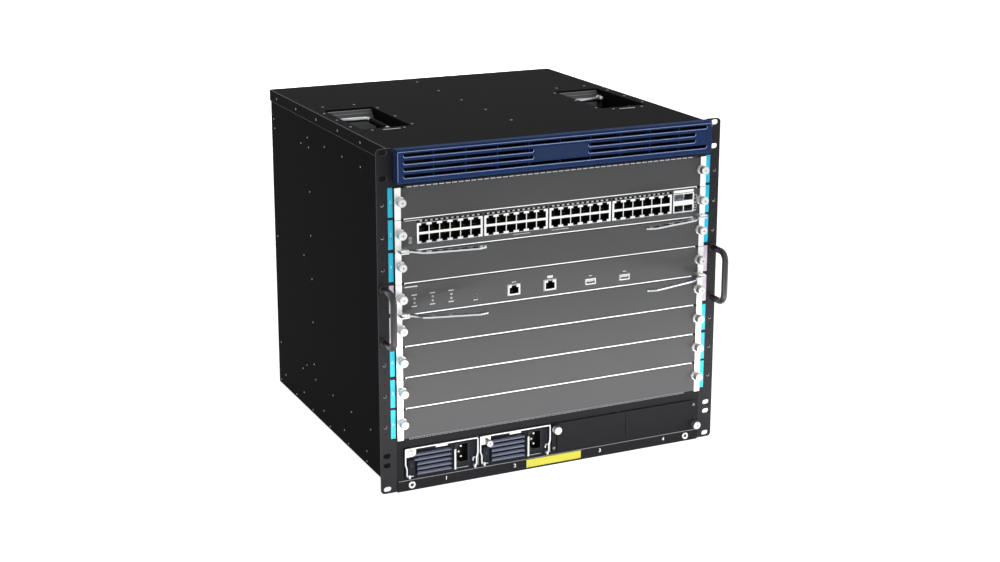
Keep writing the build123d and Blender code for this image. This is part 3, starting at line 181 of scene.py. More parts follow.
def texture(tree, shader, pattern, strength, depth, spread=None):
    """Raises a surface by a pattern to a depth in millimetres, and may spread its roughness."""
    if spread:
        limits = {"To Min": spread[0], "To Max": spread[1]}
        rough = add_node(tree, "ShaderNodeMapRange", limits, {"Value": pattern})
        tree.links.new(rough.outputs[0], shader.inputs["Roughness"])
    raised = {"Strength": strength, "Distance": depth * MM}
    bump = add_node(tree, "ShaderNodeBump", raised, {"Height": pattern})
    tree.links.new(bump.outputs[0], shader.inputs["Normal"])


def powder_coat(name, colour, roughness=0.5, tone=0.12, gloss=0.3):
    """Baked polyester powder on steel: orange peel and a faint cloudiness break up its gloss."""
    material, tree, shader = new_material(name)
    place = add_node(tree, "ShaderNodeTexCoord").outputs["Object"]
    # Clouds about 110 mm across
    cloud = add_node(tree, "ShaderNodeTexNoise", {"Scale": 9.0, "Detail": 3.0}, {"Vector": place})
    tint(tree, shader, colour, (1 - tone, 1 + tone), cloud.outputs["Fac"])
    # Orange peel of about 1.2 mm, drawn a little coarse so that it shows
    pores = {"Scale": 1 / (1.2 * MM), "Detail": 2.0}
    peel = add_node(tree, "ShaderNodeTexNoise", pores, {"Vector": place})
    texture(tree, shader, peel.outputs["Fac"], 0.12, 0.1, (roughness - 0.06, roughness + 0.06))
    shader.inputs["Specular IOR Level"].default_value = gloss
    return material


def plated_steel(name, colour, roughness=0.34, grain=0.5):
    """Zinc or nickel plate over rolled steel: fine lengthwise grain under a soft mirror."""
    material, tree, shader = new_material(name)
    place = add_node(tree, "ShaderNodeTexCoord").outputs["Object"]
    # Rolling grain 0.4 mm across and 12.5 mm long
    size = {"Scale": (1 / (12.5 * MM), 1 / (0.4 * MM), 1 / (0.4 * MM))}
    stretch = add_node(tree, "ShaderNodeMapping", size, {"Vector": place})
    noise = {"Scale": 1.0, "Detail": 3.0}
    lines = add_node(tree, "ShaderNodeTexNoise", noise, {"Vector": stretch.outputs[0]})
    spread = (roughness - 0.1, roughness + 0.12)
    texture(tree, shader, lines.outputs["Fac"], 0.1 * grain, 0.05, spread)
    shader.inputs["Base Color"].default_value = linear(colour)
    shader.inputs["Metallic"].default_value = 1.0
    return material


def finish_nodes(material, *names):
    """Gives CAD nodes a finish in place of their plain colour."""
    for name in names:
        for holder in nodes[name].material_slots:
            holder.material = material


def make_piece(name, mesh, material, body, edge=0.0, smooth=False):
    """Turns a finished bmesh to a piece that rides on a body, with its edges eased."""
    bmesh.ops.recalc_face_normals(mesh, faces=mesh.faces)
    data = bpy.data.meshes.new(name)
    mesh.to_mesh(data)
    mesh.free()
    data.materials.append(material)
    piece = bpy.data.objects.new(name, data)
    bpy.context.collection.objects.link(piece)
    if smooth:
        data.shade_smooth()
    if edge:
        bevel = piece.modifiers.new("eased_edges", "BEVEL")
        bevel.width = edge
        bevel.segments = 2
        bevel.limit_method = "ANGLE"
    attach(piece, body)
    return piece


def at(x, y, z):
    """A place in millimetres from mid-width, the ears' front face and the underside."""
    return Vector((x * MM, EAR_FACE + y * MM, z * MM))


def facing(place, normal):
    """A frame at a place whose Z axis points along the normal."""
    return Matrix.Translation(place) @ Vector(normal).to_track_quat("Z", "Y").to_matrix().to_4x4()


def add_stud(mesh, place, normal, radius, height, sides=14, taper=0.7, sunk=0.2):
    """A low round head that stands on a surface, sunk a little into it."""
    tall = (height + sunk) * MM
    middle = facing(place, normal) @ Matrix.Translation((0, 0, tall / 2 - sunk * MM))
    bmesh.ops.create_cone(
        mesh, cap_ends=True, segments=sides, radius1=radius * MM, radius2=radius * taper * MM,
        depth=tall, matrix=middle,
    )


def add_block(mesh, low, high):
    """A box between two corners in metres."""
    low, high = Vector(low), Vector(high)
    size = high - low
    scale = Matrix.Diagonal((*size, 1))
    bmesh.ops.create_cube(mesh, size=1, matrix=Matrix.Translation((low + high) / 2) @ scale)


def make_plate(name, low, high, material, body, edge=0.0):
    """A single flat piece between two corners in metres."""
    plate = bmesh.new()
    add_block(plate, low, high)
    make_piece(name, plate, material, body, edge)


body_coat = powder_coat("black_powder_coat", "#0a0a0b", 0.6, gloss=0.01)
cover_coat = powder_coat("cover_powder_coat", "#131313", 0.6, gloss=0.01)
rear_coat = powder_coat("rear_powder_coat", "#242426", 0.5, gloss=0.08)
finish_nodes(body_coat, "chassis_shell")
finish_nodes(cover_coat, "top_cover")
finish_nodes(rear_coat, "rear_panel")
rivet_steel = plated_steel("blackened_rivet_steel", "#8f9094", 0.4)

# Heights of the walls' rivets and their depths behind the ears, in rows
WALL_RIVETS = (
    (399, (106.5, 173.4, 240.3, 308.5, 454)),
    (386, (305.1, 336.6, 451)),
    (324, (305,)),
    (262, (305,)),
    (226.5, (336.6, 452)),
    (200, (305,)),
    (137.4, (305,)),
    (75.5, (305,)),
    (64.5, (336.6, 452)),
    (54.5, (87, 158, 229, 300, 354)),
    (18.8, (102.6, 186.8, 269.1, 352.3, 434.3)),
    (4.6, (103, 172, 243, 315, 386, 457)),
)
# Radius and height of the rivets' heads, the cover screws' heads and the screws' sockets
RIVET_HEAD = (1.5, 0.5)
SCREW_HEAD = (1.9, 0.45)
SCREW_SOCKET = (0.8, 0.12)
SOCKET_RISE = 0.4

rivets = bmesh.new()
for side in (-1, 1):
    wall = BODY[1].x * side / MM
    for height, depths in WALL_RIVETS:
        for depth in depths:
            add_stud(rivets, at(wall, depth, height), (side, 0, 0), *RIVET_HEAD, taper=0.55)
make_piece("wall_rivets", rivets, rivet_steel, "chassis", smooth=True)

# Depths of the cover screws on the side flanges, on the middle seam and round each pan
FLANGE_SCREWS = (103, 185.5, 268, 351, 434.6)
FLANGE_MIDDLE = 431
SEAM_SCREWS = (115, 195, 275, 355, 435)
SEAM_X = -7
PAN_SCREWS = ((214, 158.5), (214, 208.3), (214, 258.4), (134.5, 145), (134.5, 204), (134.5, 268),
              (155, 303), (200, 303), (152, 128), (196, 128))
screws = bmesh.new()
sockets = bmesh.new()
top = COVER[1].z / MM
places = [(at(SEAM_X, depth, top), (0, 0, 1)) for depth in SEAM_SCREWS]
for side in (-1, 1):
    flange = COVER[1].x * side / MM
    places += [(at(flange, depth, FLANGE_MIDDLE), (side, 0, 0)) for depth in FLANGE_SCREWS]
    places += [(at(x * side, depth, top), (0, 0, 1)) for x, depth in PAN_SCREWS]
for place, normal in places:
    add_stud(screws, place, normal, *SCREW_HEAD, taper=0.75)
    add_stud(sockets, place + Vector(normal) * SOCKET_RISE * MM, normal, *SCREW_SOCKET, sides=6, taper=1)
make_piece("cover_screws", screws, rivet_steel, "chassis", smooth=True)
# A near-black coat that paints the shade in holes, sockets, slots and seams
recess_shade = powder_coat("shadowed_recess", "#050505", 0.8)
make_piece("cover_screw_sockets", sockets, recess_shade, "chassis")

# Pale lines along the cover's folds and along its cut lower edges paint their highlights.
# Each has its height in metres, and how far it reaches in and stands out.
HIGHLIGHT_LINES = ((COVER[1].z, 0.7, 0.12), (COVER[0].z + 0.3 * MM, 0.3, 0.25))
HIGHLIGHT_BELOW = 0.35
HIGHLIGHT_ABOVE = 0.12
fold_highlight_coat = powder_coat("painted_fold_highlight", "#57575a", 0.5, gloss=0.1)
fold_highlights = bmesh.new()
for side in (-1, 1):
    wide = COVER[1].x * side
    for height, inner, proud in HIGHLIGHT_LINES:
        ends = sorted((wide - inner * MM * side, wide + proud * MM * side))
        low = (ends[0], COVER[0].y + 1 * MM, height - HIGHLIGHT_BELOW * MM)
        add_block(fold_highlights, low, (ends[1], COVER[1].y - 1 * MM, height + HIGHLIGHT_ABOVE * MM))
make_piece("cover_fold_highlights", fold_highlights, fold_highlight_coat, "chassis")


# Rack ears: flat steel flanges under a dark grey powder coat, slotted at the rack spacing and
# punched beside each card slot for captive nuts, which are bright zinc.

SLOT_PITCH = 40.64
SLOT_BASE = 69.5
SLOT_CENTRES = [SLOT_BASE + (7.5 - slot) * SLOT_PITCH for slot in range(8)]
NUT_COLUMN = 234.4
NUTLESS_SLOTS = (3, 4)
# Radius and height of each mark, drawn as a thin disc on the ear
NUT_RING = (2.2, 0.15)
NUT_THREAD = (1.7, 0.08)
PUNCHED_HOLE = (1.15, 0.06)
PUNCHED_RISES = (14.5, -9.4)

ear_coat = powder_coat("ear_powder_coat", "#252427", 0.5, gloss=0.15)
finish_nodes(ear_coat, "rack_ear_left", "rack_ear_right")
nut_zinc = plated_steel("captive_nut_zinc", "#a9abb0", 0.3)

nuts = bmesh.new()
# The nuts' threaded holes and the punched holes are near-black discs that paint the shade in them
punched = bmesh.new()
for side in (-1, 1):
    for slot, centre in enumerate(SLOT_CENTRES):
        if slot in NUTLESS_SLOTS:
            continue
        x = NUT_COLUMN * side
        add_stud(nuts, at(x, 0, centre - 0.4), (0, -1, 0), *NUT_RING, sides=20, taper=0.95)
        add_stud(punched, at(x - 0.3, -0.15, centre), (0, -1, 0), *NUT_THREAD, sides=20, taper=1)
        for rise in PUNCHED_RISES:
            add_stud(punched, at(x, 0, centre + rise), (0, -1, 0), *PUNCHED_HOLE, taper=1)
make_piece("ear_captive_nuts", nuts, nut_zinc, "chassis", smooth=True)
make_piece("ear_punched_holes", punched, recess_shade, "chassis")


# Ear handles: 8.4 mm round bar bent to a bow, screwed to each ear from behind through a
# turned foot, with a black satin lacquer.

HANDLE_X = 234.5
HANDLE_LOW = 200.2
HANDLE_HIGH = 268.8
HANDLE_OUT = 33.5
HANDLE_RADIUS = 4.2
HANDLE_BEND = 12.0
FOOT_RADIUS = 5.6
FOOT_HEIGHT = 1.4


def bent_path(corners, bend, steps=8):
    """Points along straight runs joined by round bends of one radius."""
    points = [Vector(corners[0])]
    for before, corner, after in zip(corners, corners[1:], corners[2:]):
        corner = Vector(corner)
        back = (Vector(before) - corner).normalized()
        ahead = (Vector(after) - corner).normalized()
        half = back.angle(ahead) / 2
        reach = bend / math.tan(half)
        centre = corner + (back + ahead).normalized() * bend / math.sin(half)
        start = (corner + back * reach - centre).normalized()
        end = (corner + ahead * reach - centre).normalized()
        spokes = [start.slerp(end, step / steps).normalized() for step in range(steps + 1)]
        points += [centre + spoke * bend for spoke in spokes]
    return points + [Vector(corners[-1])]


def join_rings(mesh, rings, closed=False):
    """Skins rings of as many points each, capped at both ends or joined round to the first."""
    for ring, following in zip(rings, rings[1:] + rings[:1] if closed else rings[1:]):
        for side in range(len(ring)):
            other = (side + 1) % len(ring)
            mesh.faces.new((ring[side], ring[other], following[other], following[side]))
    if not closed:
        mesh.faces.new(reversed(rings[0]))
        mesh.faces.new(rings[-1])


def add_tube(mesh, points, radius, sides=16):
    """A round bar along the points, closed at both ends."""
    rings = []
    normal = None
    for index, point in enumerate(points):
        ahead = points[min(index + 1, len(points) - 1)] - points[max(index - 1, 0)]
        ahead.normalize()
        if normal is None:
            normal = ahead.orthogonal().normalized()
        normal = (normal - ahead * normal.dot(ahead)).normalized()
        across = ahead.cross(normal)
        ring = []
        for side in range(sides):
            turn = 2 * math.pi * side / sides
            spoke = normal * math.cos(turn) + across * math.sin(turn)
            ring.append(mesh.verts.new(point + spoke * radius))
        rings.append(ring)
    join_rings(mesh, rings)


handle_lacquer = powder_coat("handle_satin_lacquer", "#222225", 0.3, tone=0.05, gloss=0.6)
handles = bmesh.new()
for side in (-1, 1):
    x = HANDLE_X * side
    corners = [at(x, 0, HANDLE_LOW), at(x, -HANDLE_OUT, HANDLE_LOW)]
    corners += [at(x, -HANDLE_OUT, HANDLE_HIGH), at(x, 0, HANDLE_HIGH)]
    add_tube(handles, bent_path(corners, HANDLE_BEND * MM), HANDLE_RADIUS * MM, sides=20)
    for height in (HANDLE_LOW, HANDLE_HIGH):
        add_stud(handles, at(x, 0, height), (0, -1, 0), FOOT_RADIUS, FOOT_HEIGHT, sides=24, taper=0.9)
bows = make_piece("ear_bow_handles", handles, handle_lacquer, "chassis", smooth=True)
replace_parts(bows, "ear_handles")


# Slot labels: printed vinyl strips on the ears beside each slot, cyan for line cards and pale
# pink for the two management slots, each with its plain slot number, white on cyan.

LABEL_WIDTH = 6.2
LABEL_INNER = 220.9
LABEL_SPANS = ((394.8, 358.0), (354.6, 317.8), (313.5, 277.0), (272.2, 236.8),
               (231.4, 195.8), (190.7, 155.0), (150.6, 114.1), (110.9, 73.2))
LABEL_NUMBERS = "12312456"
LABEL_FIGURE = 4.4
PINK_LABELS = (3, 4)
# The font's size for figures of one unit, and how thick the ink stands
FONT_SHARE = 1.35
INK = 0.03


def printed_vinyl(name, colour):
    """Screen printed vinyl film: even colour with a low sheen and a faint paper tooth."""
    material, tree, shader = new_material(name)
    place = add_node(tree, "ShaderNodeTexCoord").outputs["Object"]
    tooth = add_node(tree, "ShaderNodeTexNoise", {"Scale": 1 / (0.9 * MM)}, {"Vector": place})
    tint(tree, shader, colour, (0.94, 1), tooth.outputs["Fac"])
    shader.inputs["Roughness"].default_value = 0.45
    return material


cyan_vinyl = printed_vinyl("cyan_label_vinyl", "#1ed8ff")
pink_vinyl = printed_vinyl("pink_label_vinyl", "#eedcf0")
white_ink = printed_vinyl("white_screen_ink", "#f6f6f6")
grey_ink = printed_vinyl("grey_screen_ink", "#8a8a90")


def add_text(name, words, place, height, material, body, bold=0.0):
    """Plain printed figures that stand on a front face, centred on a place."""
    curve = bpy.data.curves.new(name, "FONT")
    curve.body = words
    curve.align_x = "CENTER"
    curve.align_y = "CENTER"
    curve.size = height * MM * FONT_SHARE
    curve.extrude = INK * MM
    curve.offset = bold * MM
    lettering = bpy.data.objects.new(name, curve)
    bpy.context.collection.objects.link(lettering)
    lettering.rotation_euler = (math.pi / 2, 0, 0)
    lettering.location = place
    bpy.context.view_layer.update()
    data = bpy.data.meshes.new_from_object(lettering)
    data.transform(lettering.matrix_world)
    bpy.data.objects.remove(lettering)
    data.materials.clear()
    data.materials.append(material)
    piece = bpy.data.objects.new(name, data)
    bpy.context.collection.objects.link(piece)
    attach(piece, body)


strips = {"cyan": bmesh.new(), "pink": bmesh.new()}
for side, edge in ((-1, "left"), (1, "right")):
    for slot, (high, low) in enumerate(LABEL_SPANS):
        colour = "pink" if slot in PINK_LABELS else "cyan"
        inner = LABEL_INNER * side
        outer = (LABEL_INNER + LABEL_WIDTH) * side
        add_block(strips[colour], at(min(inner, outer), -0.15, low), at(max(inner, outer), 0.05, high))
        ink = grey_ink if slot in PINK_LABELS else white_ink
        place = at((inner + outer) / 2, -0.18, (high + low) / 2)
        name = f"slot_number_{edge}_{slot + 1}"
        add_text(name, LABEL_NUMBERS[slot], place, LABEL_FIGURE, ink, "chassis")
make_piece("cyan_slot_labels", strips["cyan"], cyan_vinyl, "chassis")
make_piece("pink_slot_labels", strips["pink"], pink_vinyl, "chassis")


# Filler panels: pressed steel covers under a mid grey powder coat, closed by bright nickel end
# brackets, with zinc rails between the slots and spring fingers above and below the stack.

FILLERS = [name for name in nodes if name.startswith("filler_panel")]
FINGER_HALF_ROW = 204
TOP_FINGERS = {"pitch": 8.6, "width": 6.6, "height": 1.1, "middle": 394.4}
LOW_FINGERS = {"pitch": 7.7, "width": 6.3, "height": 2.2, "middle": 70.2}
FINGER_LINE = 0.5
FINGER_FACE = -1.4
# Span, face, drop and height of the painted shadow line under each rail
SHADOW_LINE_HALF = FINGER_HALF_ROW + 2
SHADOW_LINE_FACE = -1.62
SHADOW_LINE_DROP = 1.0
SHADOW_LINE_HEIGHT = 0.9

panel_coat = powder_coat("panel_powder_coat", "#5b5b5c", 0.5, tone=0.04, gloss=0.12)
finish_nodes(panel_coat, *FILLERS)
bracket_nickel = plated_steel("bracket_nickel_plate", "#e9e9e8", 0.42)
rail_zinc = plated_steel("rail_zinc_plate", "#f2f3f4", 0.46)
shelf_zinc = plated_steel("shelf_zinc_plate", "#b9bcc0", 0.42)
shelf_coat = powder_coat("shelf_dark_coat", "#3c3c3e", 0.5, gloss=0.12)
finish_nodes(bracket_nickel, "filler_brackets")
finish_nodes(rail_zinc, "slot_rails")
finish_nodes(shelf_coat, "fan_shelf")
finish_nodes(shelf_zinc, "bay_dividers")


def add_frame(mesh, x, z, wide, tall, line, face, proud=0.05):
    """A thin printed or raised rectangle round a place on a front face."""
    half_x, half_z = wide / 2, tall / 2
    front, back = face - proud, face + 0.1
    for step in (-1, 1):
        edge = z + step * (half_z - line / 2)
        add_block(mesh, at(x - half_x, front, edge - line / 2), at(x + half_x, back, edge + line / 2))
        edge = x + step * (half_x - line / 2)
        add_block(mesh, at(edge - line / 2, front, z - half_z), at(edge + line / 2, back, z + half_z))


def finger_middles(pitch):
    """The middles of the fingers along a row of one pitch."""
    count = int(2 * FINGER_HALF_ROW / pitch)
    return [-FINGER_HALF_ROW + (index + 0.5) * pitch for index in range(count)]


# The upper fingers are seen edge on, and the lower ones show their hollow bows
fingers = bmesh.new()
for x in finger_middles(TOP_FINGERS["pitch"]):
    half, rise = TOP_FINGERS["width"] / 2, TOP_FINGERS["height"] / 2
    low = at(x - half, FINGER_FACE - 0.6, TOP_FINGERS["middle"] - rise)
    add_block(fingers, low, at(x + half, FINGER_FACE, TOP_FINGERS["middle"] + rise))
make_piece("upper_spring_fingers", fingers, shelf_zinc, "chassis")
fingers = bmesh.new()
for x in finger_middles(LOW_FINGERS["pitch"]):
    size = LOW_FINGERS["width"], LOW_FINGERS["height"]
    add_frame(fingers, x, LOW_FINGERS["middle"], *size, FINGER_LINE, FINGER_FACE, proud=0.5)
make_piece("lower_spring_fingers", fingers, rivet_steel, "chassis")

# A near-black strip along the lower edge of each rail paints the shadow line under it
shadow_lines = bmesh.new()
for slot in range(7):
    low = SLOT_CENTRES[slot] - SLOT_PITCH / 2 - SHADOW_LINE_DROP
    add_block(shadow_lines, at(-SHADOW_LINE_HALF, SHADOW_LINE_FACE, low), at(SHADOW_LINE_HALF, FINGER_FACE, low + SHADOW_LINE_HEIGHT))
make_piece("rail_shadow_lines", shadow_lines, recess_shade, "chassis")


# Captive thumbscrews: turned brass knobs with a coarse straight knurl and a cross driver slot,
# nickel plated, each on a short collar that keeps it in its panel.

SCREW_X = 213.0
SCREW_RISE = 3.0
KNOB_RADIUS = 5.5
CARD_KNOB_RADIUS = KNOB_RADIUS + 0.15
KNOB_LENGTH = 9.0
KNOB_RIDGES = 26
KNOB_GROOVE = 0.35
COLLAR_RADIUS = 4.2
COLLAR_LENGTH = 1.9
BRACKET_FACE = 3.0
CARD_GAP = 0.3
# The driver slot's half length and half width, as shares of the knob's radius
SLOT_SHARES = (0.34, 0.07)


def add_turned(mesh, profile, place, normal, sides=28, hollow=False):
    """A turned form: rings of the profile's radii at its heights along the normal."""
    frame_at = facing(place, normal)
    rings = []
    for radius, height in profile:
        ring = []
        for side in range(sides):
            turn = 2 * math.pi * side / sides
            point = Vector((radius * math.cos(turn), radius * math.sin(turn), height)) * MM
            ring.append(mesh.verts.new(frame_at @ point))
        rings.append(ring)
    join_rings(mesh, rings, closed=hollow)


def add_knob(mesh, place, radius=KNOB_RADIUS, length=KNOB_LENGTH, collar=COLLAR_LENGTH):
    """A knurled knob in front of its collar, with a raised ring and a dished face."""
    face = collar + length
    rings = []
    outline = (
        (radius - 0.7, collar), (radius, collar + 0.7), (radius, face - 0.9), (radius - 0.9, face),
    )
    frame_at = facing(place, (0, -1, 0))
    sides = 2 * KNOB_RIDGES
    for reach, height in outline:
        ring = []
        for side in range(sides):
            turn = 2 * math.pi * side / sides
            grooved = reach - (KNOB_GROOVE if side % 2 else 0)
            point = Vector((grooved * math.cos(turn), grooved * math.sin(turn), height)) * MM
            ring.append(mesh.verts.new(frame_at @ point))
        rings.append(ring)
    join_rings(mesh, rings)
    dish = ((radius - 2.0, face - 0.2), (radius - 2.2, face + 0.25), (radius - 2.9, face + 0.25),
            (0.5, face + 0.1))
    add_turned(mesh, dish, place, (0, -1, 0))
    neck = ((COLLAR_RADIUS, -0.2), (COLLAR_RADIUS, collar + 0.2))
    add_turned(mesh, neck, place, (0, -1, 0), sides=20)


def add_driver_slot(mesh, place, face, radius):
    """A cross slot in a knob's face, drawn as two darker bars a hair in front of it, which paint the
    shade in the slot.
    """
    for share_x, share_z in (SLOT_SHARES, SLOT_SHARES[::-1]):
        half_x, half_z = radius * share_x, radius * share_z
        low = place + Vector((-half_x, -face - 0.3, -half_z)) * MM
        add_block(mesh, low, place + Vector((half_x, -face - 0.05, half_z)) * MM)


knob_nickel = plated_steel("knob_nickel_plate", "#d8d7d6", 0.34, grain=0.2)
FILLER_SLOTS = (0, 2, 4, 5, 6, 7)
BLANK_SCREWS = ((1.2, 50.9), (212.2, 24.1))
BLANK_SEAT = 2.6
knobs = bmesh.new()
driver_slots = bmesh.new()
places = [at(x, -BLANK_SEAT, z) for x, z in BLANK_SCREWS]
for slot in FILLER_SLOTS:
    for side in (-1, 1):
        places.append(at(SCREW_X * side, -BRACKET_FACE, SLOT_CENTRES[slot] + SCREW_RISE))
for place in places:
    add_knob(knobs, place)
    add_driver_slot(driver_slots, place, COLLAR_LENGTH + KNOB_LENGTH, KNOB_RADIUS)
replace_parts(make_piece("thumbscrew_knobs", knobs, knob_nickel, "chassis"), "panel_thumbscrews")
make_piece("thumbscrew_driver_slots", driver_slots, rivet_steel, "chassis")

for card, slot in (("line_card", 1), ("main_card", 3)):
    knobs = bmesh.new()
    driver_slots = bmesh.new()
    for side in (-1, 1):
        place = at(SCREW_X * side, -BRACKET_FACE - CARD_GAP, SLOT_CENTRES[slot] + SCREW_RISE)
        add_knob(knobs, place, radius=CARD_KNOB_RADIUS)
        add_driver_slot(driver_slots, place, COLLAR_LENGTH + KNOB_LENGTH, KNOB_RADIUS)
    make_piece(f"{card}_knobs", knobs, knob_nickel, card)
    make_piece(f"{card}_driver_slots", driver_slots, rivet_steel, card)


# Line card panel: the same powder coat as the fillers, a shade lighter, with its printing. A
# row of clear light pipes stands in a dark slot over each block of ports.

LINE_BOTTOM = SLOT_BASE + 6 * SLOT_PITCH
CARD_FACE = -1.5 - CARD_GAP
BLOCK_LEFT = -190.3
BLOCK_PITCH = 90.4
BLOCK_WIDTH = 88.0
BLOCK_LEFTS = [BLOCK_LEFT + block * BLOCK_PITCH for block in range(4)]
PORT_PITCH = 14.0
BLOCK_BOTTOM = LINE_BOTTOM + 8.6
BLOCK_TOP = BLOCK_BOTTOM + 25.8
PIPE_HALF = 1.6
PIPE_RISE = 0.95
PIPE_MIDDLE = BLOCK_TOP + 2.3
# How far over a block the pipes' dark slot starts and ends, and how far to the left of a
# block the dark seam and its dots do
PIPE_SLOT = (1.0, 3.7)
SEAM_SPAN = (2.0, 0.4)
SEAM_DOTS = (1.5, 0.9)
DOT_HALF = 0.45
DOT_BASE = 2.4
DOT_PITCH = 3.0
LINE_LAMPS = (325, 329.5)
LINE_LAMP_X = -199
# Right end: the middle heights of the printed frames and how tall they are
END_FRAMES = ((341.4, 5.6), (333.8, 1.6), (328.6, 4.6), (323.4, 1.6))
END_FRAME_X = 205.3
END_FRAME_WIDTH = 4.6
# Printed lines: left and right ends, lower and upper edges
PRINTED_LINES = ((-206, -183, 351.4, 352.4), (-60, -36, 318.6, 319.2), (-6, 18, 318.6, 319.2))

card_coat = powder_coat("card_powder_coat", "#606061", 0.5, tone=0.04, gloss=0.12)
finish_nodes(card_coat, "line_card_panel", "main_card_panel")
finish_nodes(bracket_nickel, "line_card_hardware", "main_card_hardware")


def clear_plastic(name, colour):
    """Moulded acrylic light pipe: a glossy clear end that is brighter than its panel."""
    material, tree, shader = new_material(name)
    place = add_node(tree, "ShaderNodeTexCoord").outputs["Object"]
    haze = add_node(tree, "ShaderNodeTexNoise", {"Scale": 1 / (0.6 * MM)}, {"Vector": place})
    tint(tree, shader, colour, (0.85, 1), haze.outputs["Fac"])
    shader.inputs["Roughness"].default_value = 0.2
    shader.inputs["Transmission Weight"].default_value = 0.2
    return material


light_pipe = clear_plastic("light_pipe_acrylic", "#f2f4f2")
pipes = bmesh.new()
marks = bmesh.new()
pipe_slots = bmesh.new()
for left in BLOCK_LEFTS:
    for port in range(12):
        x = left + BLOCK_WIDTH / 2 + (port - 5.5) * PORT_PITCH / 2
        low = at(x - PIPE_HALF, CARD_FACE - 0.3, PIPE_MIDDLE - PIPE_RISE)
        add_block(pipes, low, at(x + PIPE_HALF, CARD_FACE + 0.2, PIPE_MIDDLE + PIPE_RISE))
    # The slot that the pipes stand in and the dotted seam beside each block are near black, painting the
    # shade in them
    row = at(left, CARD_FACE - 0.06, BLOCK_TOP + PIPE_SLOT[0])
    add_block(pipe_slots, row, at(left + BLOCK_WIDTH, CARD_FACE + 0.1, BLOCK_TOP + PIPE_SLOT[1]))
    if left == BLOCK_LEFT:
        continue
    seam = at(left - SEAM_SPAN[0], CARD_FACE - 0.06, BLOCK_BOTTOM)
    add_block(pipe_slots, seam, at(left - SEAM_SPAN[1], CARD_FACE + 0.1, BLOCK_TOP + 0.4))
    for dot in range(8):
        z = BLOCK_BOTTOM + DOT_BASE + dot * DOT_PITCH
        low = at(left - SEAM_DOTS[0], CARD_FACE - 0.1, z - DOT_HALF)
        add_block(marks, low, at(left - SEAM_DOTS[1], CARD_FACE, z + DOT_HALF))
for height, tall in END_FRAMES:
    add_frame(marks, END_FRAME_X, height, END_FRAME_WIDTH, tall, 0.75, CARD_FACE)
for height in LINE_LAMPS:
    add_stud(pipes, at(LINE_LAMP_X, CARD_FACE, height), (0, -1, 0), 1.1, 0.3)
    add_frame(marks, LINE_LAMP_X, height, 3.8, 3.8, 0.4, CARD_FACE)
for left, right, low, high in PRINTED_LINES:
    add_block(marks, at(left, CARD_FACE - 0.04, low), at(right, CARD_FACE + 0.1, high))
make_piece("port_light_slots", pipe_slots, recess_shade, "line_card")
make_piece("port_light_pipes", pipes, light_pipe, "line_card")
make_piece("line_card_printing", marks, white_ink, "line_card")


# Copper port blocks: tin plated steel shields folded round black glass-filled nylon sockets,
# each with eight gold plated spring contacts.

PORT_WIDTH = 12.1
PORT_HEIGHT = 7.7
NOTCH_WIDTH = 6.0
NOTCH_HEIGHT = 2.5
PORT_EDGE = 0.8
BLOCK_MIDDLE = 12.9
BLOCK_FACE = CARD_FACE - 0.8
PORT_DEPTH = 12.5
LINER = 0.25
CONTACT_PITCH = 1.02
CONTACT_HALF = 0.25
CONTACT_HEIGHT = 0.9
TONGUE_SIZE = (1.0, 0.35, 9.6)
TONGUE_RISES = (2.2, 14.0)

shield_tin = plated_steel("tin_plated_shield", "#eef0f0", 0.3)
socket_nylon = powder_coat("black_socket_nylon", "#070708", 0.45)
contact_gold = plated_steel("gold_plated_contact", "#b08a3c", 0.3)
finish_nodes(shield_tin, "rj45_blocks", "sfp_cage", "main_card_sockets")


def port_outline(x, middle, side, inset):
    """The plug's opening with its latch notch above or below, counter-clockwise."""
    edge = BLOCK_MIDDLE - PORT_EDGE
    mouth = edge - NOTCH_HEIGHT
    half, notch = PORT_WIDTH / 2 - inset, NOTCH_WIDTH / 2 - inset
    low, high, top = mouth - PORT_HEIGHT + inset, mouth - inset, edge - inset
    points = [(-half, low), (half, low), (half, high), (notch, high), (notch, top),
              (-notch, top), (-notch, high), (-half, high)]
    return [(x + u, middle + side * v) for u, v in points]


def add_port_liner(mesh, gold, x, middle, side, front):
    """The socket's black walls and floor, and the contacts on the wall facing the notch."""
    back = front + PORT_DEPTH - 0.1
    rings = []
    section = ((front - 0.02, -0.45), (front - 0.1, -0.4), (front - 0.1, LINER), (back, LINER))
    for depth, inset in section:
        rings.append([mesh.verts.new(at(u, depth, v)) for u, v in port_outline(x, middle, side, inset)])
    for outer, inner in zip(rings, rings[1:]):
        for index in range(len(outer)):
            other = (index + 1) % len(outer)
            mesh.faces.new((outer[index], outer[other], inner[other], inner[index]))
    mesh.faces.new(rings[-1])
    wall = middle + side * (BLOCK_MIDDLE - PORT_EDGE - NOTCH_HEIGHT - PORT_HEIGHT + LINER)
    ends = sorted((wall, wall + side * CONTACT_HEIGHT))
    for pin in range(8):
        u = x + (pin - 3.5) * CONTACT_PITCH
        low = at(u - CONTACT_HALF, back - 4, ends[0])
        add_block(gold, low, at(u + CONTACT_HALF, back - 3.5, ends[1]))


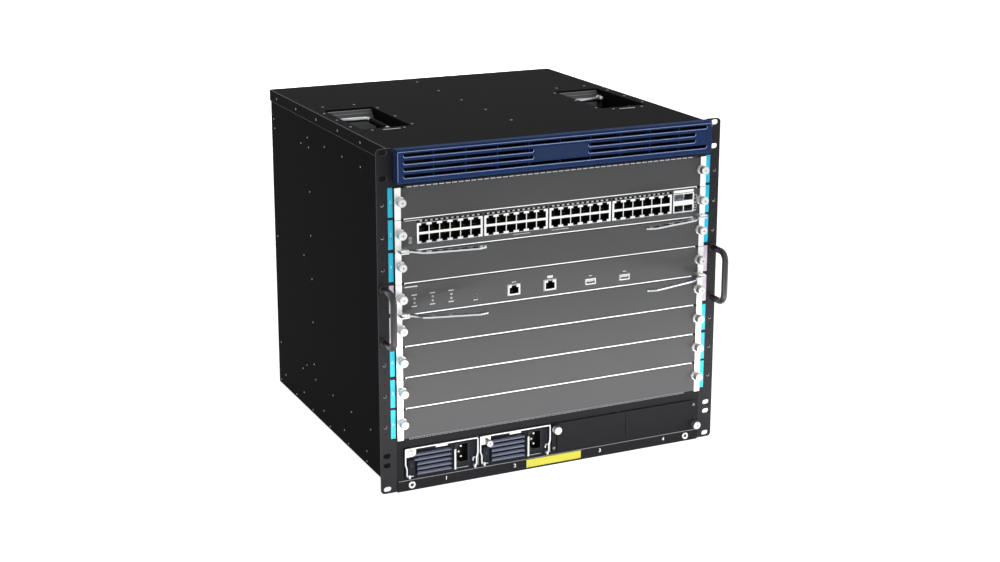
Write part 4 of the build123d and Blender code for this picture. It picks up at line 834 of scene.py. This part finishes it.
liners = bmesh.new()
contacts = bmesh.new()
tongues = bmesh.new()
for left in BLOCK_LEFTS:
    middle_x = left + BLOCK_WIDTH / 2
    for column in range(6):
        for side in (-1, 1):
            x = middle_x + (column - 2.5) * PORT_PITCH
            add_port_liner(liners, contacts, x, BLOCK_BOTTOM + BLOCK_MIDDLE, side, BLOCK_FACE)
    # Spring tongues of the shields: raised strips between the columns
    for column in range(5):
        x = middle_x + (column - 2) * PORT_PITCH
        for rise in TONGUE_RISES:
            low = at(x - TONGUE_SIZE[0] / 2, BLOCK_FACE - 0.25, BLOCK_BOTTOM + rise)
            add_block(tongues, low, low + Vector(TONGUE_SIZE) * MM)
make_piece("port_socket_liners", liners, socket_nylon, "line_card")
make_piece("port_contacts", contacts, contact_gold, "line_card")
make_piece("port_shield_tongues", tongues, shield_tin, "line_card", edge=0.1 * MM)


# Fibre cage: a tin plated press-fit cage with four mouths, spring fingers round its front and
# a bright plate over it. One mouth holds a grey moulded dust plug, which pulls out.

CAGE_LEFT = 171.5
CAGE_WIDTH = 31.0
CAGE_FACE = CARD_FACE - 0.6
CAGE_MIDDLE = CAGE_LEFT + CAGE_WIDTH / 2
CAGE_HOLES = [
    (CAGE_MIDDLE + dx, BLOCK_BOTTOM + BLOCK_MIDDLE + dz) for dz in (7.4, -7.4) for dx in (-7.2, 7.2)
]
CAGE_MOUTH = (13.2, 8.4)
CAGE_BACK = (44.0, 44.9)
TEETH = (-4.2, -1.4, 1.4, 4.2)
TOOTH_SIZE = (1.8, 0.3, 0.7)
PLATE_RISES = (0.8, 4.2)
TAB_HALF = 4.6
TAB_RISE = 1.2
TAB_REACH = (-6.0, -0.8)

cage_liners = bmesh.new()
springs = bmesh.new()
for x, z in CAGE_HOLES:
    half_x, half_z = CAGE_MOUTH[0] / 2 - 0.06, CAGE_MOUTH[1] / 2 - 0.06
    low = at(x - half_x, CAGE_FACE + CAGE_BACK[0], z - half_z)
    add_block(cage_liners, low, at(x + half_x, CAGE_FACE + CAGE_BACK[1], z + half_z))
    for step in (-1, 1):
        edge = z + step * (half_z + 0.1)
        for tooth in TEETH:
            low = at(x + tooth - TOOTH_SIZE[0] / 2, CAGE_FACE - 0.2, edge - TOOTH_SIZE[2] / 2)
            add_block(springs, low, low + Vector(TOOTH_SIZE) * MM)
make_piece("cage_back_walls", cage_liners, socket_nylon, "line_card")
make_piece("cage_spring_fingers", springs, nut_zinc, "line_card")

low = at(CAGE_LEFT + 0.4, CARD_FACE - 0.35, BLOCK_TOP + PLATE_RISES[0])
high = at(CAGE_LEFT + CAGE_WIDTH - 0.4, CARD_FACE, BLOCK_TOP + PLATE_RISES[1])
make_plate("cage_top_plate", low, high, shield_tin, "line_card", edge=0.15 * MM)


def moulded(name, colour, roughness=0.45, grain_mm=0.5, strength=0.18, gloss=0.3):
    """Injection moulded plastic: a fine spark-eroded grain that scatters its gloss."""
    material, tree, shader = new_material(name)
    place = add_node(tree, "ShaderNodeTexCoord").outputs["Object"]
    noise = {"Scale": 1 / (grain_mm * MM), "Detail": 3.0}
    grain = add_node(tree, "ShaderNodeTexNoise", noise, {"Vector": place})
    tint(tree, shader, colour, (0.9, 1.1), grain.outputs["Fac"])
    texture(tree, shader, grain.outputs["Fac"], strength, 0.05)
    shader.inputs["Roughness"].default_value = roughness
    shader.inputs["Specular IOR Level"].default_value = gloss
    return material


plug_rubber = moulded("dust_plug_rubber", "#7c8088", 0.6)
finish_nodes(plug_rubber, "sfp_dust_plug")
plug_x, plug_z = CAGE_HOLES[0]
low = at(plug_x - TAB_HALF, CAGE_FACE + TAB_REACH[0], plug_z - TAB_RISE)
high = at(plug_x + TAB_HALF, CAGE_FACE + TAB_REACH[1], plug_z + TAB_RISE)
make_plate("dust_plug_pull_tab", low, high, plug_rubber, "dust_plug", edge=0.5 * MM)


# Ejector levers: blanked steel strips with a bright zinc plate. Each turns on a shoulder
# rivet whose peened head shows above the upper lug. Inlays close their windows: near-black ones
# on the line card paint the shade seen through them, and zinc plated ones fill them on the management
# card.

LEVER_X = 211.0
LEVER_Y = -9.9 - CARD_GAP
MAIN_BOTTOM = SLOT_BASE + 4 * SLOT_PITCH
PIVOT_RADIUS = 2.4
PIVOT_UPPER = (5.2, 0.8)
PIVOT_LOWER = (0.4, 0.5)

lever_zinc = plated_steel("lever_zinc_plate", "#c6c8cc", 0.2)
finish_nodes(lever_zinc, *[name for name in nodes if "lever" in name])
for card, bottom in (("line_card", LINE_BOTTOM), ("main_card", MAIN_BOTTOM)):
    heads = bmesh.new()
    for side in (-1, 1):
        for (rise, height), up in ((PIVOT_UPPER, 1), (PIVOT_LOWER, -1)):
            place = at(LEVER_X * side, LEVER_Y, bottom + rise)
            add_stud(heads, place, (0, 0, up), PIVOT_RADIUS, height, taper=0.6)
    make_piece(f"{card}_pivot_rivets", heads, knob_nickel, card, smooth=True)

# The inlays' middle along the lever from its pin, the slope of its run, and each lever's
# side, turn in degrees, card and inlay
INLAY_PLACE = (59.5, 18.2, 0.0)
INLAY_SLOPE = math.radians(7.47)
INLAY_PITCH = 14.2
INLAY_SIZE = (9.7, 4.1, 1.7)
LEVER_MIDDLE = 2.8
# Near-black inlays on the line card's levers paint the shade seen through their windows
window_shade_fill = powder_coat("painted_window_shade", "#0a0a0b", 0.7, gloss=0.02)
LEVERS = {
    "line_lever_left": (-1, 0.0, LINE_BOTTOM, window_shade_fill),
    "line_lever_right": (1, 4.0, LINE_BOTTOM, window_shade_fill),
    "main_lever_left": (-1, 5.5, MAIN_BOTTOM, lever_zinc),
    "main_lever_right": (1, 6.5, MAIN_BOTTOM, lever_zinc),
}
for body, (side, turn, bottom, material) in LEVERS.items():
    inlays = bmesh.new()
    run = Matrix.Translation(at(LEVER_X * side, LEVER_Y, bottom + LEVER_MIDDLE))
    run @= Matrix.Diagonal((-side, -1, 1, 1)) @ Matrix.Rotation(math.radians(turn), 4, "Z")
    run @= Matrix.Translation(Vector(INLAY_PLACE) * MM) @ Matrix.Rotation(INLAY_SLOPE, 4, "Z")
    for index in range(4):
        along = Matrix.Translation(((index - 1.5) * INLAY_PITCH * MM, 0, 0))
        size = Matrix.Diagonal((*(Vector(INLAY_SIZE) * MM), 1))
        bmesh.ops.create_cube(inlays, size=1, matrix=run @ along @ size)
    make_piece(f"{body}_inlays", inlays, material, body, edge=0.3 * MM)


# Management card: two shielded copper ports, two serial sockets, a recessed reset button and
# three pairs of status lamps, with thin printed frames round the ports and sockets.

JACKS = (-66.6, -15.6)
JACK_SIZE = (16.0, 12.6)
JACK_FRAME = (18.2, 14.8)
JACK_DROP = 12.9
MAIN_BLOCK = MAIN_BOTTOM + 8.6
USB_MIDDLES = (50.8, 100.8)
USB_HEIGHT = MAIN_BLOCK + 3.7
USB_FRAME = (17.5, 9.4)
USB_TONGUE = ((-5.2, 0.6, -0.2), (5.2, 10.0, 1.6))
LAMP_COLUMNS = (-194.3, -169.9, -144.8)
LAMP_HEIGHTS = (252.5, 247.2)
LAMP_TEXT_RISE = 4.6
RESET_PLACE = (-111.6, 245.56)
RESET_TEXT = 240.5
RING_PROFILE = ((2.3, -0.1), (2.3, 0.25), (1.7, 0.25), (1.7, -0.1))

liners = bmesh.new()
contacts = bmesh.new()
for left in JACKS:
    middle_z = MAIN_BLOCK + JACK_SIZE[1] - JACK_DROP
    add_port_liner(liners, contacts, left + JACK_SIZE[0] / 2, middle_z, 1, CARD_FACE - 0.7)
make_piece("main_socket_liners", liners, socket_nylon, "main_card")
make_piece("main_socket_contacts", contacts, contact_gold, "main_card")

tongues = bmesh.new()
for x in USB_MIDDLES:
    corners = [at(x + u, CARD_FACE + depth, USB_HEIGHT + rise) for u, depth, rise in USB_TONGUE]
    add_block(tongues, *corners)
tongue_nylon = printed_vinyl("white_socket_nylon", "#e6e6e2")
make_piece("serial_socket_tongues", tongues, tongue_nylon, "main_card", edge=0.2 * MM)


def add_dashes(mesh, x, z, blocks, tall):
    """A row of short printed dashes, centred on a place, each given by its width and gap."""
    left = x - sum(wide + gap for wide, gap in blocks) / 2
    for wide, gap in blocks:
        low = at(left, CARD_FACE - 0.05, z - tall / 2)
        add_block(mesh, low, at(left + wide, CARD_FACE + 0.1, z + tall / 2))
        left += wide + gap


# Plain dashes stand for the small printing: one row over each lamp pair and one under it
LAMP_DASHES = ((1.5, 0.4), (1.1, 0.4), (1.8, 0.5), (1.2, 0.4))
SERIAL_DASHES = ((1.3, 0.4), (1.5, 0.4), (1.0, 0))
PORT_DASHES = ((1.8, 0.4), (1.4, 0.4), (1.8, 0))
RESET_DASHES = ((1.6, 0.4), (1.6, 0.4), (1.6, 0))
printing = bmesh.new()
frames = bmesh.new()
for x in USB_MIDDLES:
    add_frame(frames, x, USB_HEIGHT, *USB_FRAME, 0.4, CARD_FACE)
    add_dashes(printing, x, USB_HEIGHT + 7.6, SERIAL_DASHES, 1.0)
for left in JACKS:
    middle = left + JACK_SIZE[0] / 2
    add_frame(printing, middle, MAIN_BLOCK + JACK_SIZE[1] / 2, *JACK_FRAME, 0.5, CARD_FACE)
    add_dashes(printing, middle, MAIN_BLOCK + 16.4, PORT_DASHES, 1.0)
for x in LAMP_COLUMNS:
    add_dashes(printing, x, LAMP_HEIGHTS[0] + LAMP_TEXT_RISE, LAMP_DASHES, 1.3)
    add_dashes(printing, x, LAMP_HEIGHTS[1] - LAMP_TEXT_RISE, LAMP_DASHES, 1.3)
add_block(printing, at(-207.2, CARD_FACE - 0.05, 267.4), at(-190, CARD_FACE + 0.1, 268.9))
add_dashes(printing, RESET_PLACE[0], RESET_TEXT, RESET_DASHES, 1.1)
make_piece("main_card_printing", printing, white_ink, "main_card")
make_piece("serial_socket_frames", frames, grey_ink, "main_card")

lamps = bmesh.new()
lamp_centres = bmesh.new()
for x in LAMP_COLUMNS:
    for z in LAMP_HEIGHTS:
        add_stud(lamps, at(x, CARD_FACE, z), (0, -1, 0), 1.6, 0.4, sides=18, taper=0.9)
        add_stud(lamp_centres, at(x, CARD_FACE - 0.38, z), (0, -1, 0), 0.85, 0.1, taper=0.9)
make_piece("main_card_lamps", lamps, light_pipe, "main_card", smooth=True)
make_piece("main_card_lamp_centres", lamp_centres, grey_ink, "main_card")

reset_ring = bmesh.new()
place = at(RESET_PLACE[0], CARD_FACE, RESET_PLACE[1])
add_turned(reset_ring, RING_PROFILE, place, (0, -1, 0), sides=24)
make_piece("reset_printed_ring", reset_ring, grey_ink, "main_card")
finish_nodes(moulded("reset_button_plastic", "#3c3c3f"), "reset_button")

low, high = at(-11.6, CARD_FACE - 0.08, MAIN_BLOCK + 15.4), at(-3.6, CARD_FACE + 0.1, MAIN_BLOCK + 18.8)
make_plate("port_bare_label", low, high, white_ink, "main_card", edge=0.8 * MM)


# Fan bezel: one navy ABS moulding with a fine sparked grain. A plain raised plate and a pad
# are moulded between its slots, and rounded lips line the slots and its upper edge, coloured
# pale blue as a painted highlight.

bezel_abs = moulded("navy_bezel_abs", "#2d426f", 0.5, grain_mm=0.6, gloss=0.01)
finish_nodes(bezel_abs, "fan_bezel")
bezel_gloss = moulded("navy_plate_abs", "#1f3560", 0.34, grain_mm=1.2, strength=0.06, gloss=0.2)
# The lips' pale blue paints the highlight on their rounded edges
lip_highlight_abs = moulded("painted_lip_highlight", "#a8b8ea", 0.25, grain_mm=1.2, strength=0.05)
BEZEL_FACE = -15.0
FULL_RUN = ((-212.2, 212.2),)
SPLIT_RUN = ((-212.2, -38.0), (38.0, 195.2))
# Each row's middle height and the runs of its slots, from the top
BEZEL_ROWS = ((435.9, FULL_RUN), (427.3, SPLIT_RUN), (418.7, SPLIT_RUN), (410.1, FULL_RUN))
SLOT_HALF = 2.2
LIP_RADIUS = 0.55
UPPER_LIP_RADIUS = 0.4
UPPER_LIP_BEND = 1.4
UPPER_LIP = ((-219.2, 404.0), (-219.2, 440.5), (219.2, 440.5), (219.2, 436.0))

lips = bmesh.new()
for middle, runs in BEZEL_ROWS:
    low = middle - SLOT_HALF
    for left, right in runs:
        route = [(left + 0.3, low + 2.6), (left + 0.3, low + 1.4), (left + 1.6, low - 0.1)]
        route += [(right - 1.6, low - 0.1), (right - 0.3, low + 1.4), (right - 0.3, low + 3.4)]
        add_tube(lips, [at(x, BEZEL_FACE, z) for x, z in route], LIP_RADIUS * MM, sides=8)
# The upper lip lies under the chamfer, and turns down the left edge
route = bent_path([at(x, BEZEL_FACE + 0.1, z) for x, z in UPPER_LIP], UPPER_LIP_BEND * MM)
add_tube(lips, route, UPPER_LIP_RADIUS * MM, sides=8)
make_piece("bezel_slot_lips", lips, lip_highlight_abs, "fan_unit", smooth=True)

raised = bmesh.new()
add_block(raised, at(-36.6, BEZEL_FACE - 0.35, 415.2), at(36.6, BEZEL_FACE + 0.5, 430.8))
add_frame(raised, 203.6, 423.1, 16.6, 12.9, 0.8, BEZEL_FACE - 0.2)
make_piece("bezel_bare_plate", raised, bezel_gloss, "fan_unit", edge=0.3 * MM)


# Fan tray and blowers: a tray coated near black, which paints the shade inside the bezel's
# slots, carries three flat centrifugal blowers of black glass-filled nylon, with the wheels
# turning behind round inlets.

blower_nylon = moulded("blower_black_nylon", "#111113", 0.5, grain_mm=0.8, gloss=0.1)
wheel_nylon = moulded("wheel_black_nylon", "#1c1c1e", 0.42, grain_mm=0.8, gloss=0.1)
tray_shade_coat = powder_coat("tray_painted_shade_coat", "#141416", 0.5, gloss=0.08)
finish_nodes(tray_shade_coat, "fan_tray")
finish_nodes(blower_nylon, "blower_housings")
finish_nodes(wheel_nylon, "blower_rotor_1", "blower_rotor_2", "blower_rotor_3")


# Recessed pans and lifting handles: pressed black pans riveted under the cover, with round
# steel bars under black vinyl grips that fold flat in them and turn on pins between brackets.

finish_nodes(cover_coat, "handle_pans")
finish_nodes(nut_zinc, "handle_brackets")
PAN_SPAN = (139.6, 206.4)
PAN_BACK = 279.0
PAN_SLOPE = 20.0
PAN_DEPTH = 26.0
PAN_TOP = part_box("handle_pans")[1].z / MM
# The rear wall's section up the slope: height, and how far it stands in front of the slope
WALL_SECTION = ((0.4, 0.35), (PAN_DEPTH - 1.2, 0.35), (PAN_DEPTH - 1.2, 0.1), (0.4, 0.1))
# Bright zinc strips across each pan's rear wall, by how far in front of its back they lie, and one on
# the cover in front of each pan, by its span and depth
WALL_STRIPS = (1.6, 4.6)
STRIP_SPAN = (159.0, 183.0)
STRIP_DEPTH = 124.0

# The sloping rear wall of each pan is coated paler to paint the light that falls on it
lit_wall_coat = powder_coat("painted_lit_pan_wall", "#767678", 0.5, tone=0.1, gloss=0.1)
rear_walls = bmesh.new()
strips = bmesh.new()
for side in (-1, 1):
    corners = []
    for height, proud in WALL_SECTION:
        depth = PAN_BACK - PAN_SLOPE + PAN_SLOPE * height / PAN_DEPTH - proud
        corners.append((depth, PAN_TOP - PAN_DEPTH + height))
    rings = []
    for x in PAN_SPAN:
        rings.append([rear_walls.verts.new(at(x * side, depth, height)) for depth, height in corners])
    join_rings(rear_walls, rings)
    low, high = sorted(x * side for x in STRIP_SPAN)
    corner = at(low, STRIP_DEPTH - 1.2, top - 0.1)
    add_block(strips, corner, at(high, STRIP_DEPTH + 1.2, top + 0.5))
    low, high = sorted(x * side for x in PAN_SPAN)
    for ahead in WALL_STRIPS:
        depth = PAN_BACK - ahead
        z = PAN_TOP - (PAN_BACK - depth) * PAN_DEPTH / PAN_SLOPE
        add_block(strips, at(low, depth - 0.9, z - 0.2), at(high, depth - 0.3, z + 0.5))
make_piece("pan_rear_walls", rear_walls, lit_wall_coat, "chassis")
make_piece("pan_bright_strips", strips, nut_zinc, "chassis", edge=0.15 * MM)

grip_vinyl = moulded("black_grip_vinyl", "#080809", 0.6, grain_mm=0.8, gloss=0.02)
LIFT_X = 199.5
LIFT_Z = 429.82
LIFT_Y = 208.5
LIFT_REACH = 44.0
LIFT_BAR = 3.2
LIFT_HALF = 45 - LIFT_BAR
LIFT_BEND = 8
GRIP_RADIUS = 3.9
GRIP_START = 14
EYE_SIZE = (3.9, 6.4)
PIN_SIZE = (2.1, 4.0)
for side, name in ((-1, "left"), (1, "right")):
    bar = bmesh.new()
    inner = (LIFT_X - LIFT_REACH) * side
    outer = LIFT_X * side
    near, far = LIFT_Y - LIFT_HALF, LIFT_Y + LIFT_HALF
    corners = ((outer, near), (inner, near), (inner, far), (outer, far))
    route = [at(x, depth, LIFT_Z) for x, depth in corners]
    add_tube(bar, bent_path(route, LIFT_BEND * MM), LIFT_BAR * MM, sides=16)
    for depth, step in ((near, -1), (far, 1)):
        eye = at(outer, depth - step * LIFT_BAR, LIFT_Z)
        add_stud(bar, eye, (0, step, 0), *EYE_SIZE, sides=18, taper=1, sunk=0)
        pin = at(outer, depth + step * LIFT_BAR, LIFT_Z)
        add_stud(bar, pin, (0, step, 0), *PIN_SIZE, taper=0.95)
    steel = make_piece(f"lift_bar_{name}", bar, nut_zinc, f"lift_{name}", smooth=True)
    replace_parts(steel, f"lift_handle_{name}")
    grip = bmesh.new()
    route = [at(inner, near + GRIP_START + step * 2, LIFT_Z) for step in range(29)]
    add_tube(grip, route, GRIP_RADIUS * MM, sides=18)
    make_piece(f"lift_grip_{name}", grip, grip_vinyl, f"lift_{name}", smooth=True)


# Power bay frame: folded steel under black powder coat, with a sill along the bottom. The
# wrist strap sockets are turned and nickel plated, with a rolled edge.

frame_coat = powder_coat("frame_powder_coat", "#18181b", 0.5, gloss=0.12)
finish_nodes(frame_coat, "power_cage", "power_blank_3", "power_blank_4")
SILL_FACE = -0.8
SILL_PROUD = SILL_FACE - 0.12
JACK_X = 200.2
JACK_Z = 7.5
SOCKET_PROFILE = ((2.0, -9.0), (2.0, 0.9), (2.6, 1.7), (3.6, 2.0), (4.5, 1.5), (4.9, 0.5), (4.9, 0.0),
                  (3.3, -0.1), (3.3, -9.0))
BAY_DIGITS = (-152.7, -55.7, 69.3, 166.3)
BAY_FIGURE = 5.0
BAY_BOLD = 0.14
COVER_SCREWS = ((0.8, 22.9), (212.6, 50.3))

socket_rings = bmesh.new()
for side in (-1, 1):
    place = at(JACK_X * side, SILL_FACE, JACK_Z)
    add_turned(socket_rings, SOCKET_PROFILE, place, (0, -1, 0), hollow=True)
jacks = make_piece("wrist_strap_sockets", socket_rings, knob_nickel, "chassis", smooth=True)
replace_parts(jacks, "esd_jacks")

yellow_vinyl = printed_vinyl("yellow_label_vinyl", "#ccc742")
low, high = at(-39.1, SILL_PROUD, 2.5), at(40.7, SILL_FACE + 0.1, 13.0)
make_plate("plain_yellow_strip", low, high, yellow_vinyl, "chassis")
for bay, x in enumerate(BAY_DIGITS, start=1):
    place = at(x, SILL_FACE - 0.03, 8)
    add_text(f"bay_number_{bay}", str(bay), place, BAY_FIGURE, white_ink, "chassis", BAY_BOLD)

# A pale steel strip along the sill's upper edge paints its highlight
low, high = at(-218, SILL_PROUD, 13.85), at(218, SILL_FACE + 0.1, 14.52)
make_plate("sill_edge_highlight", low, high, rivet_steel, "chassis")

slot_screws = bmesh.new()
screw_slots = bmesh.new()
for x, z in COVER_SCREWS:
    add_stud(slot_screws, at(x, -1.2, z), (0, -1, 0), 2.1, 0.7, sides=16, taper=0.8)
    add_block(screw_slots, at(x - 1.5, -2.0, z - 0.25), at(x + 1.5, -1.8, z + 0.25))
make_piece("blank_cover_screws", slot_screws, rivet_steel, "chassis", smooth=True)
make_piece("blank_cover_screw_slots", screw_slots, recess_shade, "chassis")


# Power supplies: moulded louvres and a latch block on a dark blue-grey case, a black inlet
# with nickel blades, and a bright wire bail that carries the corner plate and captive screw.

case_coat = powder_coat("case_powder_coat", "#171921", 0.5, gloss=0.12)
finish_nodes(case_coat, "psu_1_case", "psu_2_case")
slate_abs = moulded("dark_slate_abs", "#1a1c25", 0.45, gloss=0.12)
# The louvres' lips are a paler copy of the slate moulding, painting the light on their upper faces
lit_lip_slate = moulded("painted_lit_slate_abs", "#666b7d", 0.4, gloss=0.2)
inlet_nylon = moulded("inlet_black_nylon", "#0a0a0b", 0.4)
blade_nickel = plated_steel("inlet_blade_nickel", "#e8e8e6", 0.25)
finish_nodes(slate_abs, "psu_1_grille", "psu_2_grille")
finish_nodes(inlet_nylon, "psu_1_inlet", "psu_2_inlet")
finish_nodes(knob_nickel, "psu_1_hardware", "psu_2_hardware")

SUPPLY_BOTTOM = 17.5
SUPPLY_WIDTH = 99.7
# Left edge of each supply and how far its captive screw stands out
SUPPLIES = ((-209.3, 0.6), (-105.8, 11.0))
BAIL_DEPTH = -2.8
BAIL_RADIUS = 1.2
BAIL_BEND = 2.2
BAIL_ROUTE = [(6.2, 2.4), (1.8, 2.4), (1.8, 13.0), (0, 18.5), (0, 39.2)]
BAIL_ROUTE += [(SUPPLY_WIDTH - x, z) for x, z in reversed(BAIL_ROUTE)]
LOUVRE_END = 62.4
LOUVRE_MIDDLE = 18.0
LOUVRE_PITCH = 6.35
LOUVRE_HEIGHT = 3.6
LIP_FACE = -4.08
# Section of a lip: how far behind its face and how high above the louvre's lower edge
LIP_SECTION = ((0, 0), (0, 1.86), (2.5, 2.99), (2.5, 2.7), (0.3, 1.6), (0.3, 0))
# How far each louvre's lip reaches left, from the lowest, as the upper two pass over the latch
LIP_STARTS = (15.4, 15.4, 15.4, 12.4, 5.0)
PLATE_FACES = (-4.0, -5.2)
PLATE_CORNERS = ((-1.2, 29.2), (8.9, 29.2), (11.4, 30.2), (12.9, 32.0), (13.4, 34.0), (13.4, 40.4),
                 (-1.2, 40.4))
SCREW_SEAT = (6.2, -5.2, 34.8)
SUPPLY_KNOB = (4.4, 4.0)
BLADE_PLACES = ((78.0, 15.0), (78.0, 29.0), (74.8, 22.0))
TRIM_BLOCKS = (((3.6, -0.5, 0.6), (12.0, 0.1, 1.4)), ((67.5, -0.5, 1.2), (88.0, 0.1, 1.6)),
               ((92.2, -3.4, 9.0), (93.6, 0.1, 14.0)), ((92.2, -3.4, 12.8), (96.0, -2.4, 14.0)))
BARE_LABEL = ((42.6, -0.25, 34.6), (58.8, 0.05, 37.6))
DIAL_PLACE = (7.8, -3.6, 17.0)
DIAL_PROFILE = ((2.6, -0.1), (2.6, 0.5), (1.9, 0.8), (1.2, 0.4))

for number, (left, stand) in enumerate(SUPPLIES, start=1):
    supply, bail = f"supply_{number}", f"supply_{number}_bail"
    corner = at(left, 0, SUPPLY_BOTTOM)

    lips = bmesh.new()
    for index, start in enumerate(LIP_STARTS):
        low = LOUVRE_MIDDLE + (index - 2) * LOUVRE_PITCH - LOUVRE_HEIGHT / 2
        profile = [(LIP_FACE + behind, low + above) for behind, above in LIP_SECTION]
        rings = []
        for x in (start, LOUVRE_END):
            rings.append([lips.verts.new(corner + Vector((x, y, z)) * MM) for y, z in profile])
        join_rings(lips, rings)
    make_piece(f"{supply}_louvre_lips", lips, lit_lip_slate, supply)

    wire = bmesh.new()
    places = [corner + Vector((x, BAIL_DEPTH, z)) * MM for x, z in BAIL_ROUTE]
    add_tube(wire, bent_path(places, BAIL_BEND * MM), BAIL_RADIUS * MM, sides=12)
    loop = make_piece(f"{supply}_wire_bail", wire, knob_nickel, bail, smooth=True)
    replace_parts(loop, f"psu_{number}_bail")

    plate = bmesh.new()
    rings = []
    for depth in PLATE_FACES:
        rings.append([plate.verts.new(corner + Vector((x, depth, z)) * MM) for x, z in PLATE_CORNERS])
    join_rings(plate, rings)
    make_piece(f"{supply}_corner_plate", plate, bracket_nickel, bail, edge=0.25 * MM)

    screw = bmesh.new()
    seat = corner + Vector(SCREW_SEAT) * MM
    radius, length = SUPPLY_KNOB
    add_knob(screw, seat, radius, length, collar=stand)
    make_piece(f"{supply}_captive_screw", screw, knob_nickel, bail)
    screw_slot = bmesh.new()
    add_driver_slot(screw_slot, seat, stand + length, radius)
    make_piece(f"{supply}_screw_slot", screw_slot, recess_shade, bail)

    blades = bmesh.new()
    for x, z in BLADE_PLACES:
        low, high = Vector((x - 0.4, 3.2, z - 1.06)), Vector((x + 2.06, 14.0, z + 1.06))
        add_block(blades, corner + low * MM, corner + high * MM)
    make_piece(f"{supply}_inlet_blades", blades, blade_nickel, supply, edge=0.3 * MM)

    trim = bmesh.new()
    for low, high in TRIM_BLOCKS:
        add_block(trim, corner + Vector(low) * MM, corner + Vector(high) * MM)
    make_piece(f"{supply}_bright_trim", trim, knob_nickel, supply, edge=0.15 * MM)

    low, high = (corner + Vector(place) * MM for place in BARE_LABEL)
    make_plate(f"{supply}_bare_label", low, high, white_ink, supply)

    dial = bmesh.new()
    add_turned(dial, DIAL_PROFILE, corner + Vector(DIAL_PLACE) * MM, (0, -1, 0), sides=22)
    make_piece(f"{supply}_latch_dial", dial, inlet_nylon, supply, smooth=True)


# Backplane and boards: green glass-epoxy laminate under solder mask, with tinned tracks and cream
# headers. Black nylon rails guide the boards' edges.

TRACK_CELL = 9
TRACK_FOLD = 0.08
TRACK_EDGE = 0.05


def solder_mask(name, colour, track):
    """Epoxy solder mask over etched copper: glossy green with paler tracks round 9 mm cells."""
    material, tree, shader = new_material(name)
    place = add_node(tree, "ShaderNodeTexCoord").outputs["Object"]
    cells = {"distance": "MANHATTAN", "Scale": 1 / (TRACK_CELL * MM)}
    tracks = add_node(tree, "ShaderNodeTexVoronoi", cells, {"Vector": place})
    fold = {"operation": "PINGPONG", 1: TRACK_FOLD}
    lines = add_node(tree, "ShaderNodeMath", fold, {0: tracks.outputs["Distance"]})
    over = {"operation": "GREATER_THAN", 1: TRACK_EDGE}
    edge = add_node(tree, "ShaderNodeMath", over, {0: lines.outputs[0]})
    mix = {"data_type": "RGBA", 6: linear(colour), 7: linear(track)}
    colours = add_node(tree, "ShaderNodeMix", mix, {0: edge.outputs[0]})
    tree.links.new(colours.outputs[2], shader.inputs["Base Color"])
    shader.inputs["Roughness"].default_value = 0.3
    return material


mask = solder_mask("green_solder_mask", "#14502c", "#1d6638")
finish_nodes(mask, "backplane", "line_card_board", "main_card_board")
cream_pbt = moulded("cream_header_pbt", "#cfc8b0", 0.5)
finish_nodes(cream_pbt, "mating_headers")
guide_nylon = moulded("guide_black_nylon", "#131315", 0.5)
finish_nodes(guide_nylon, "card_guides")
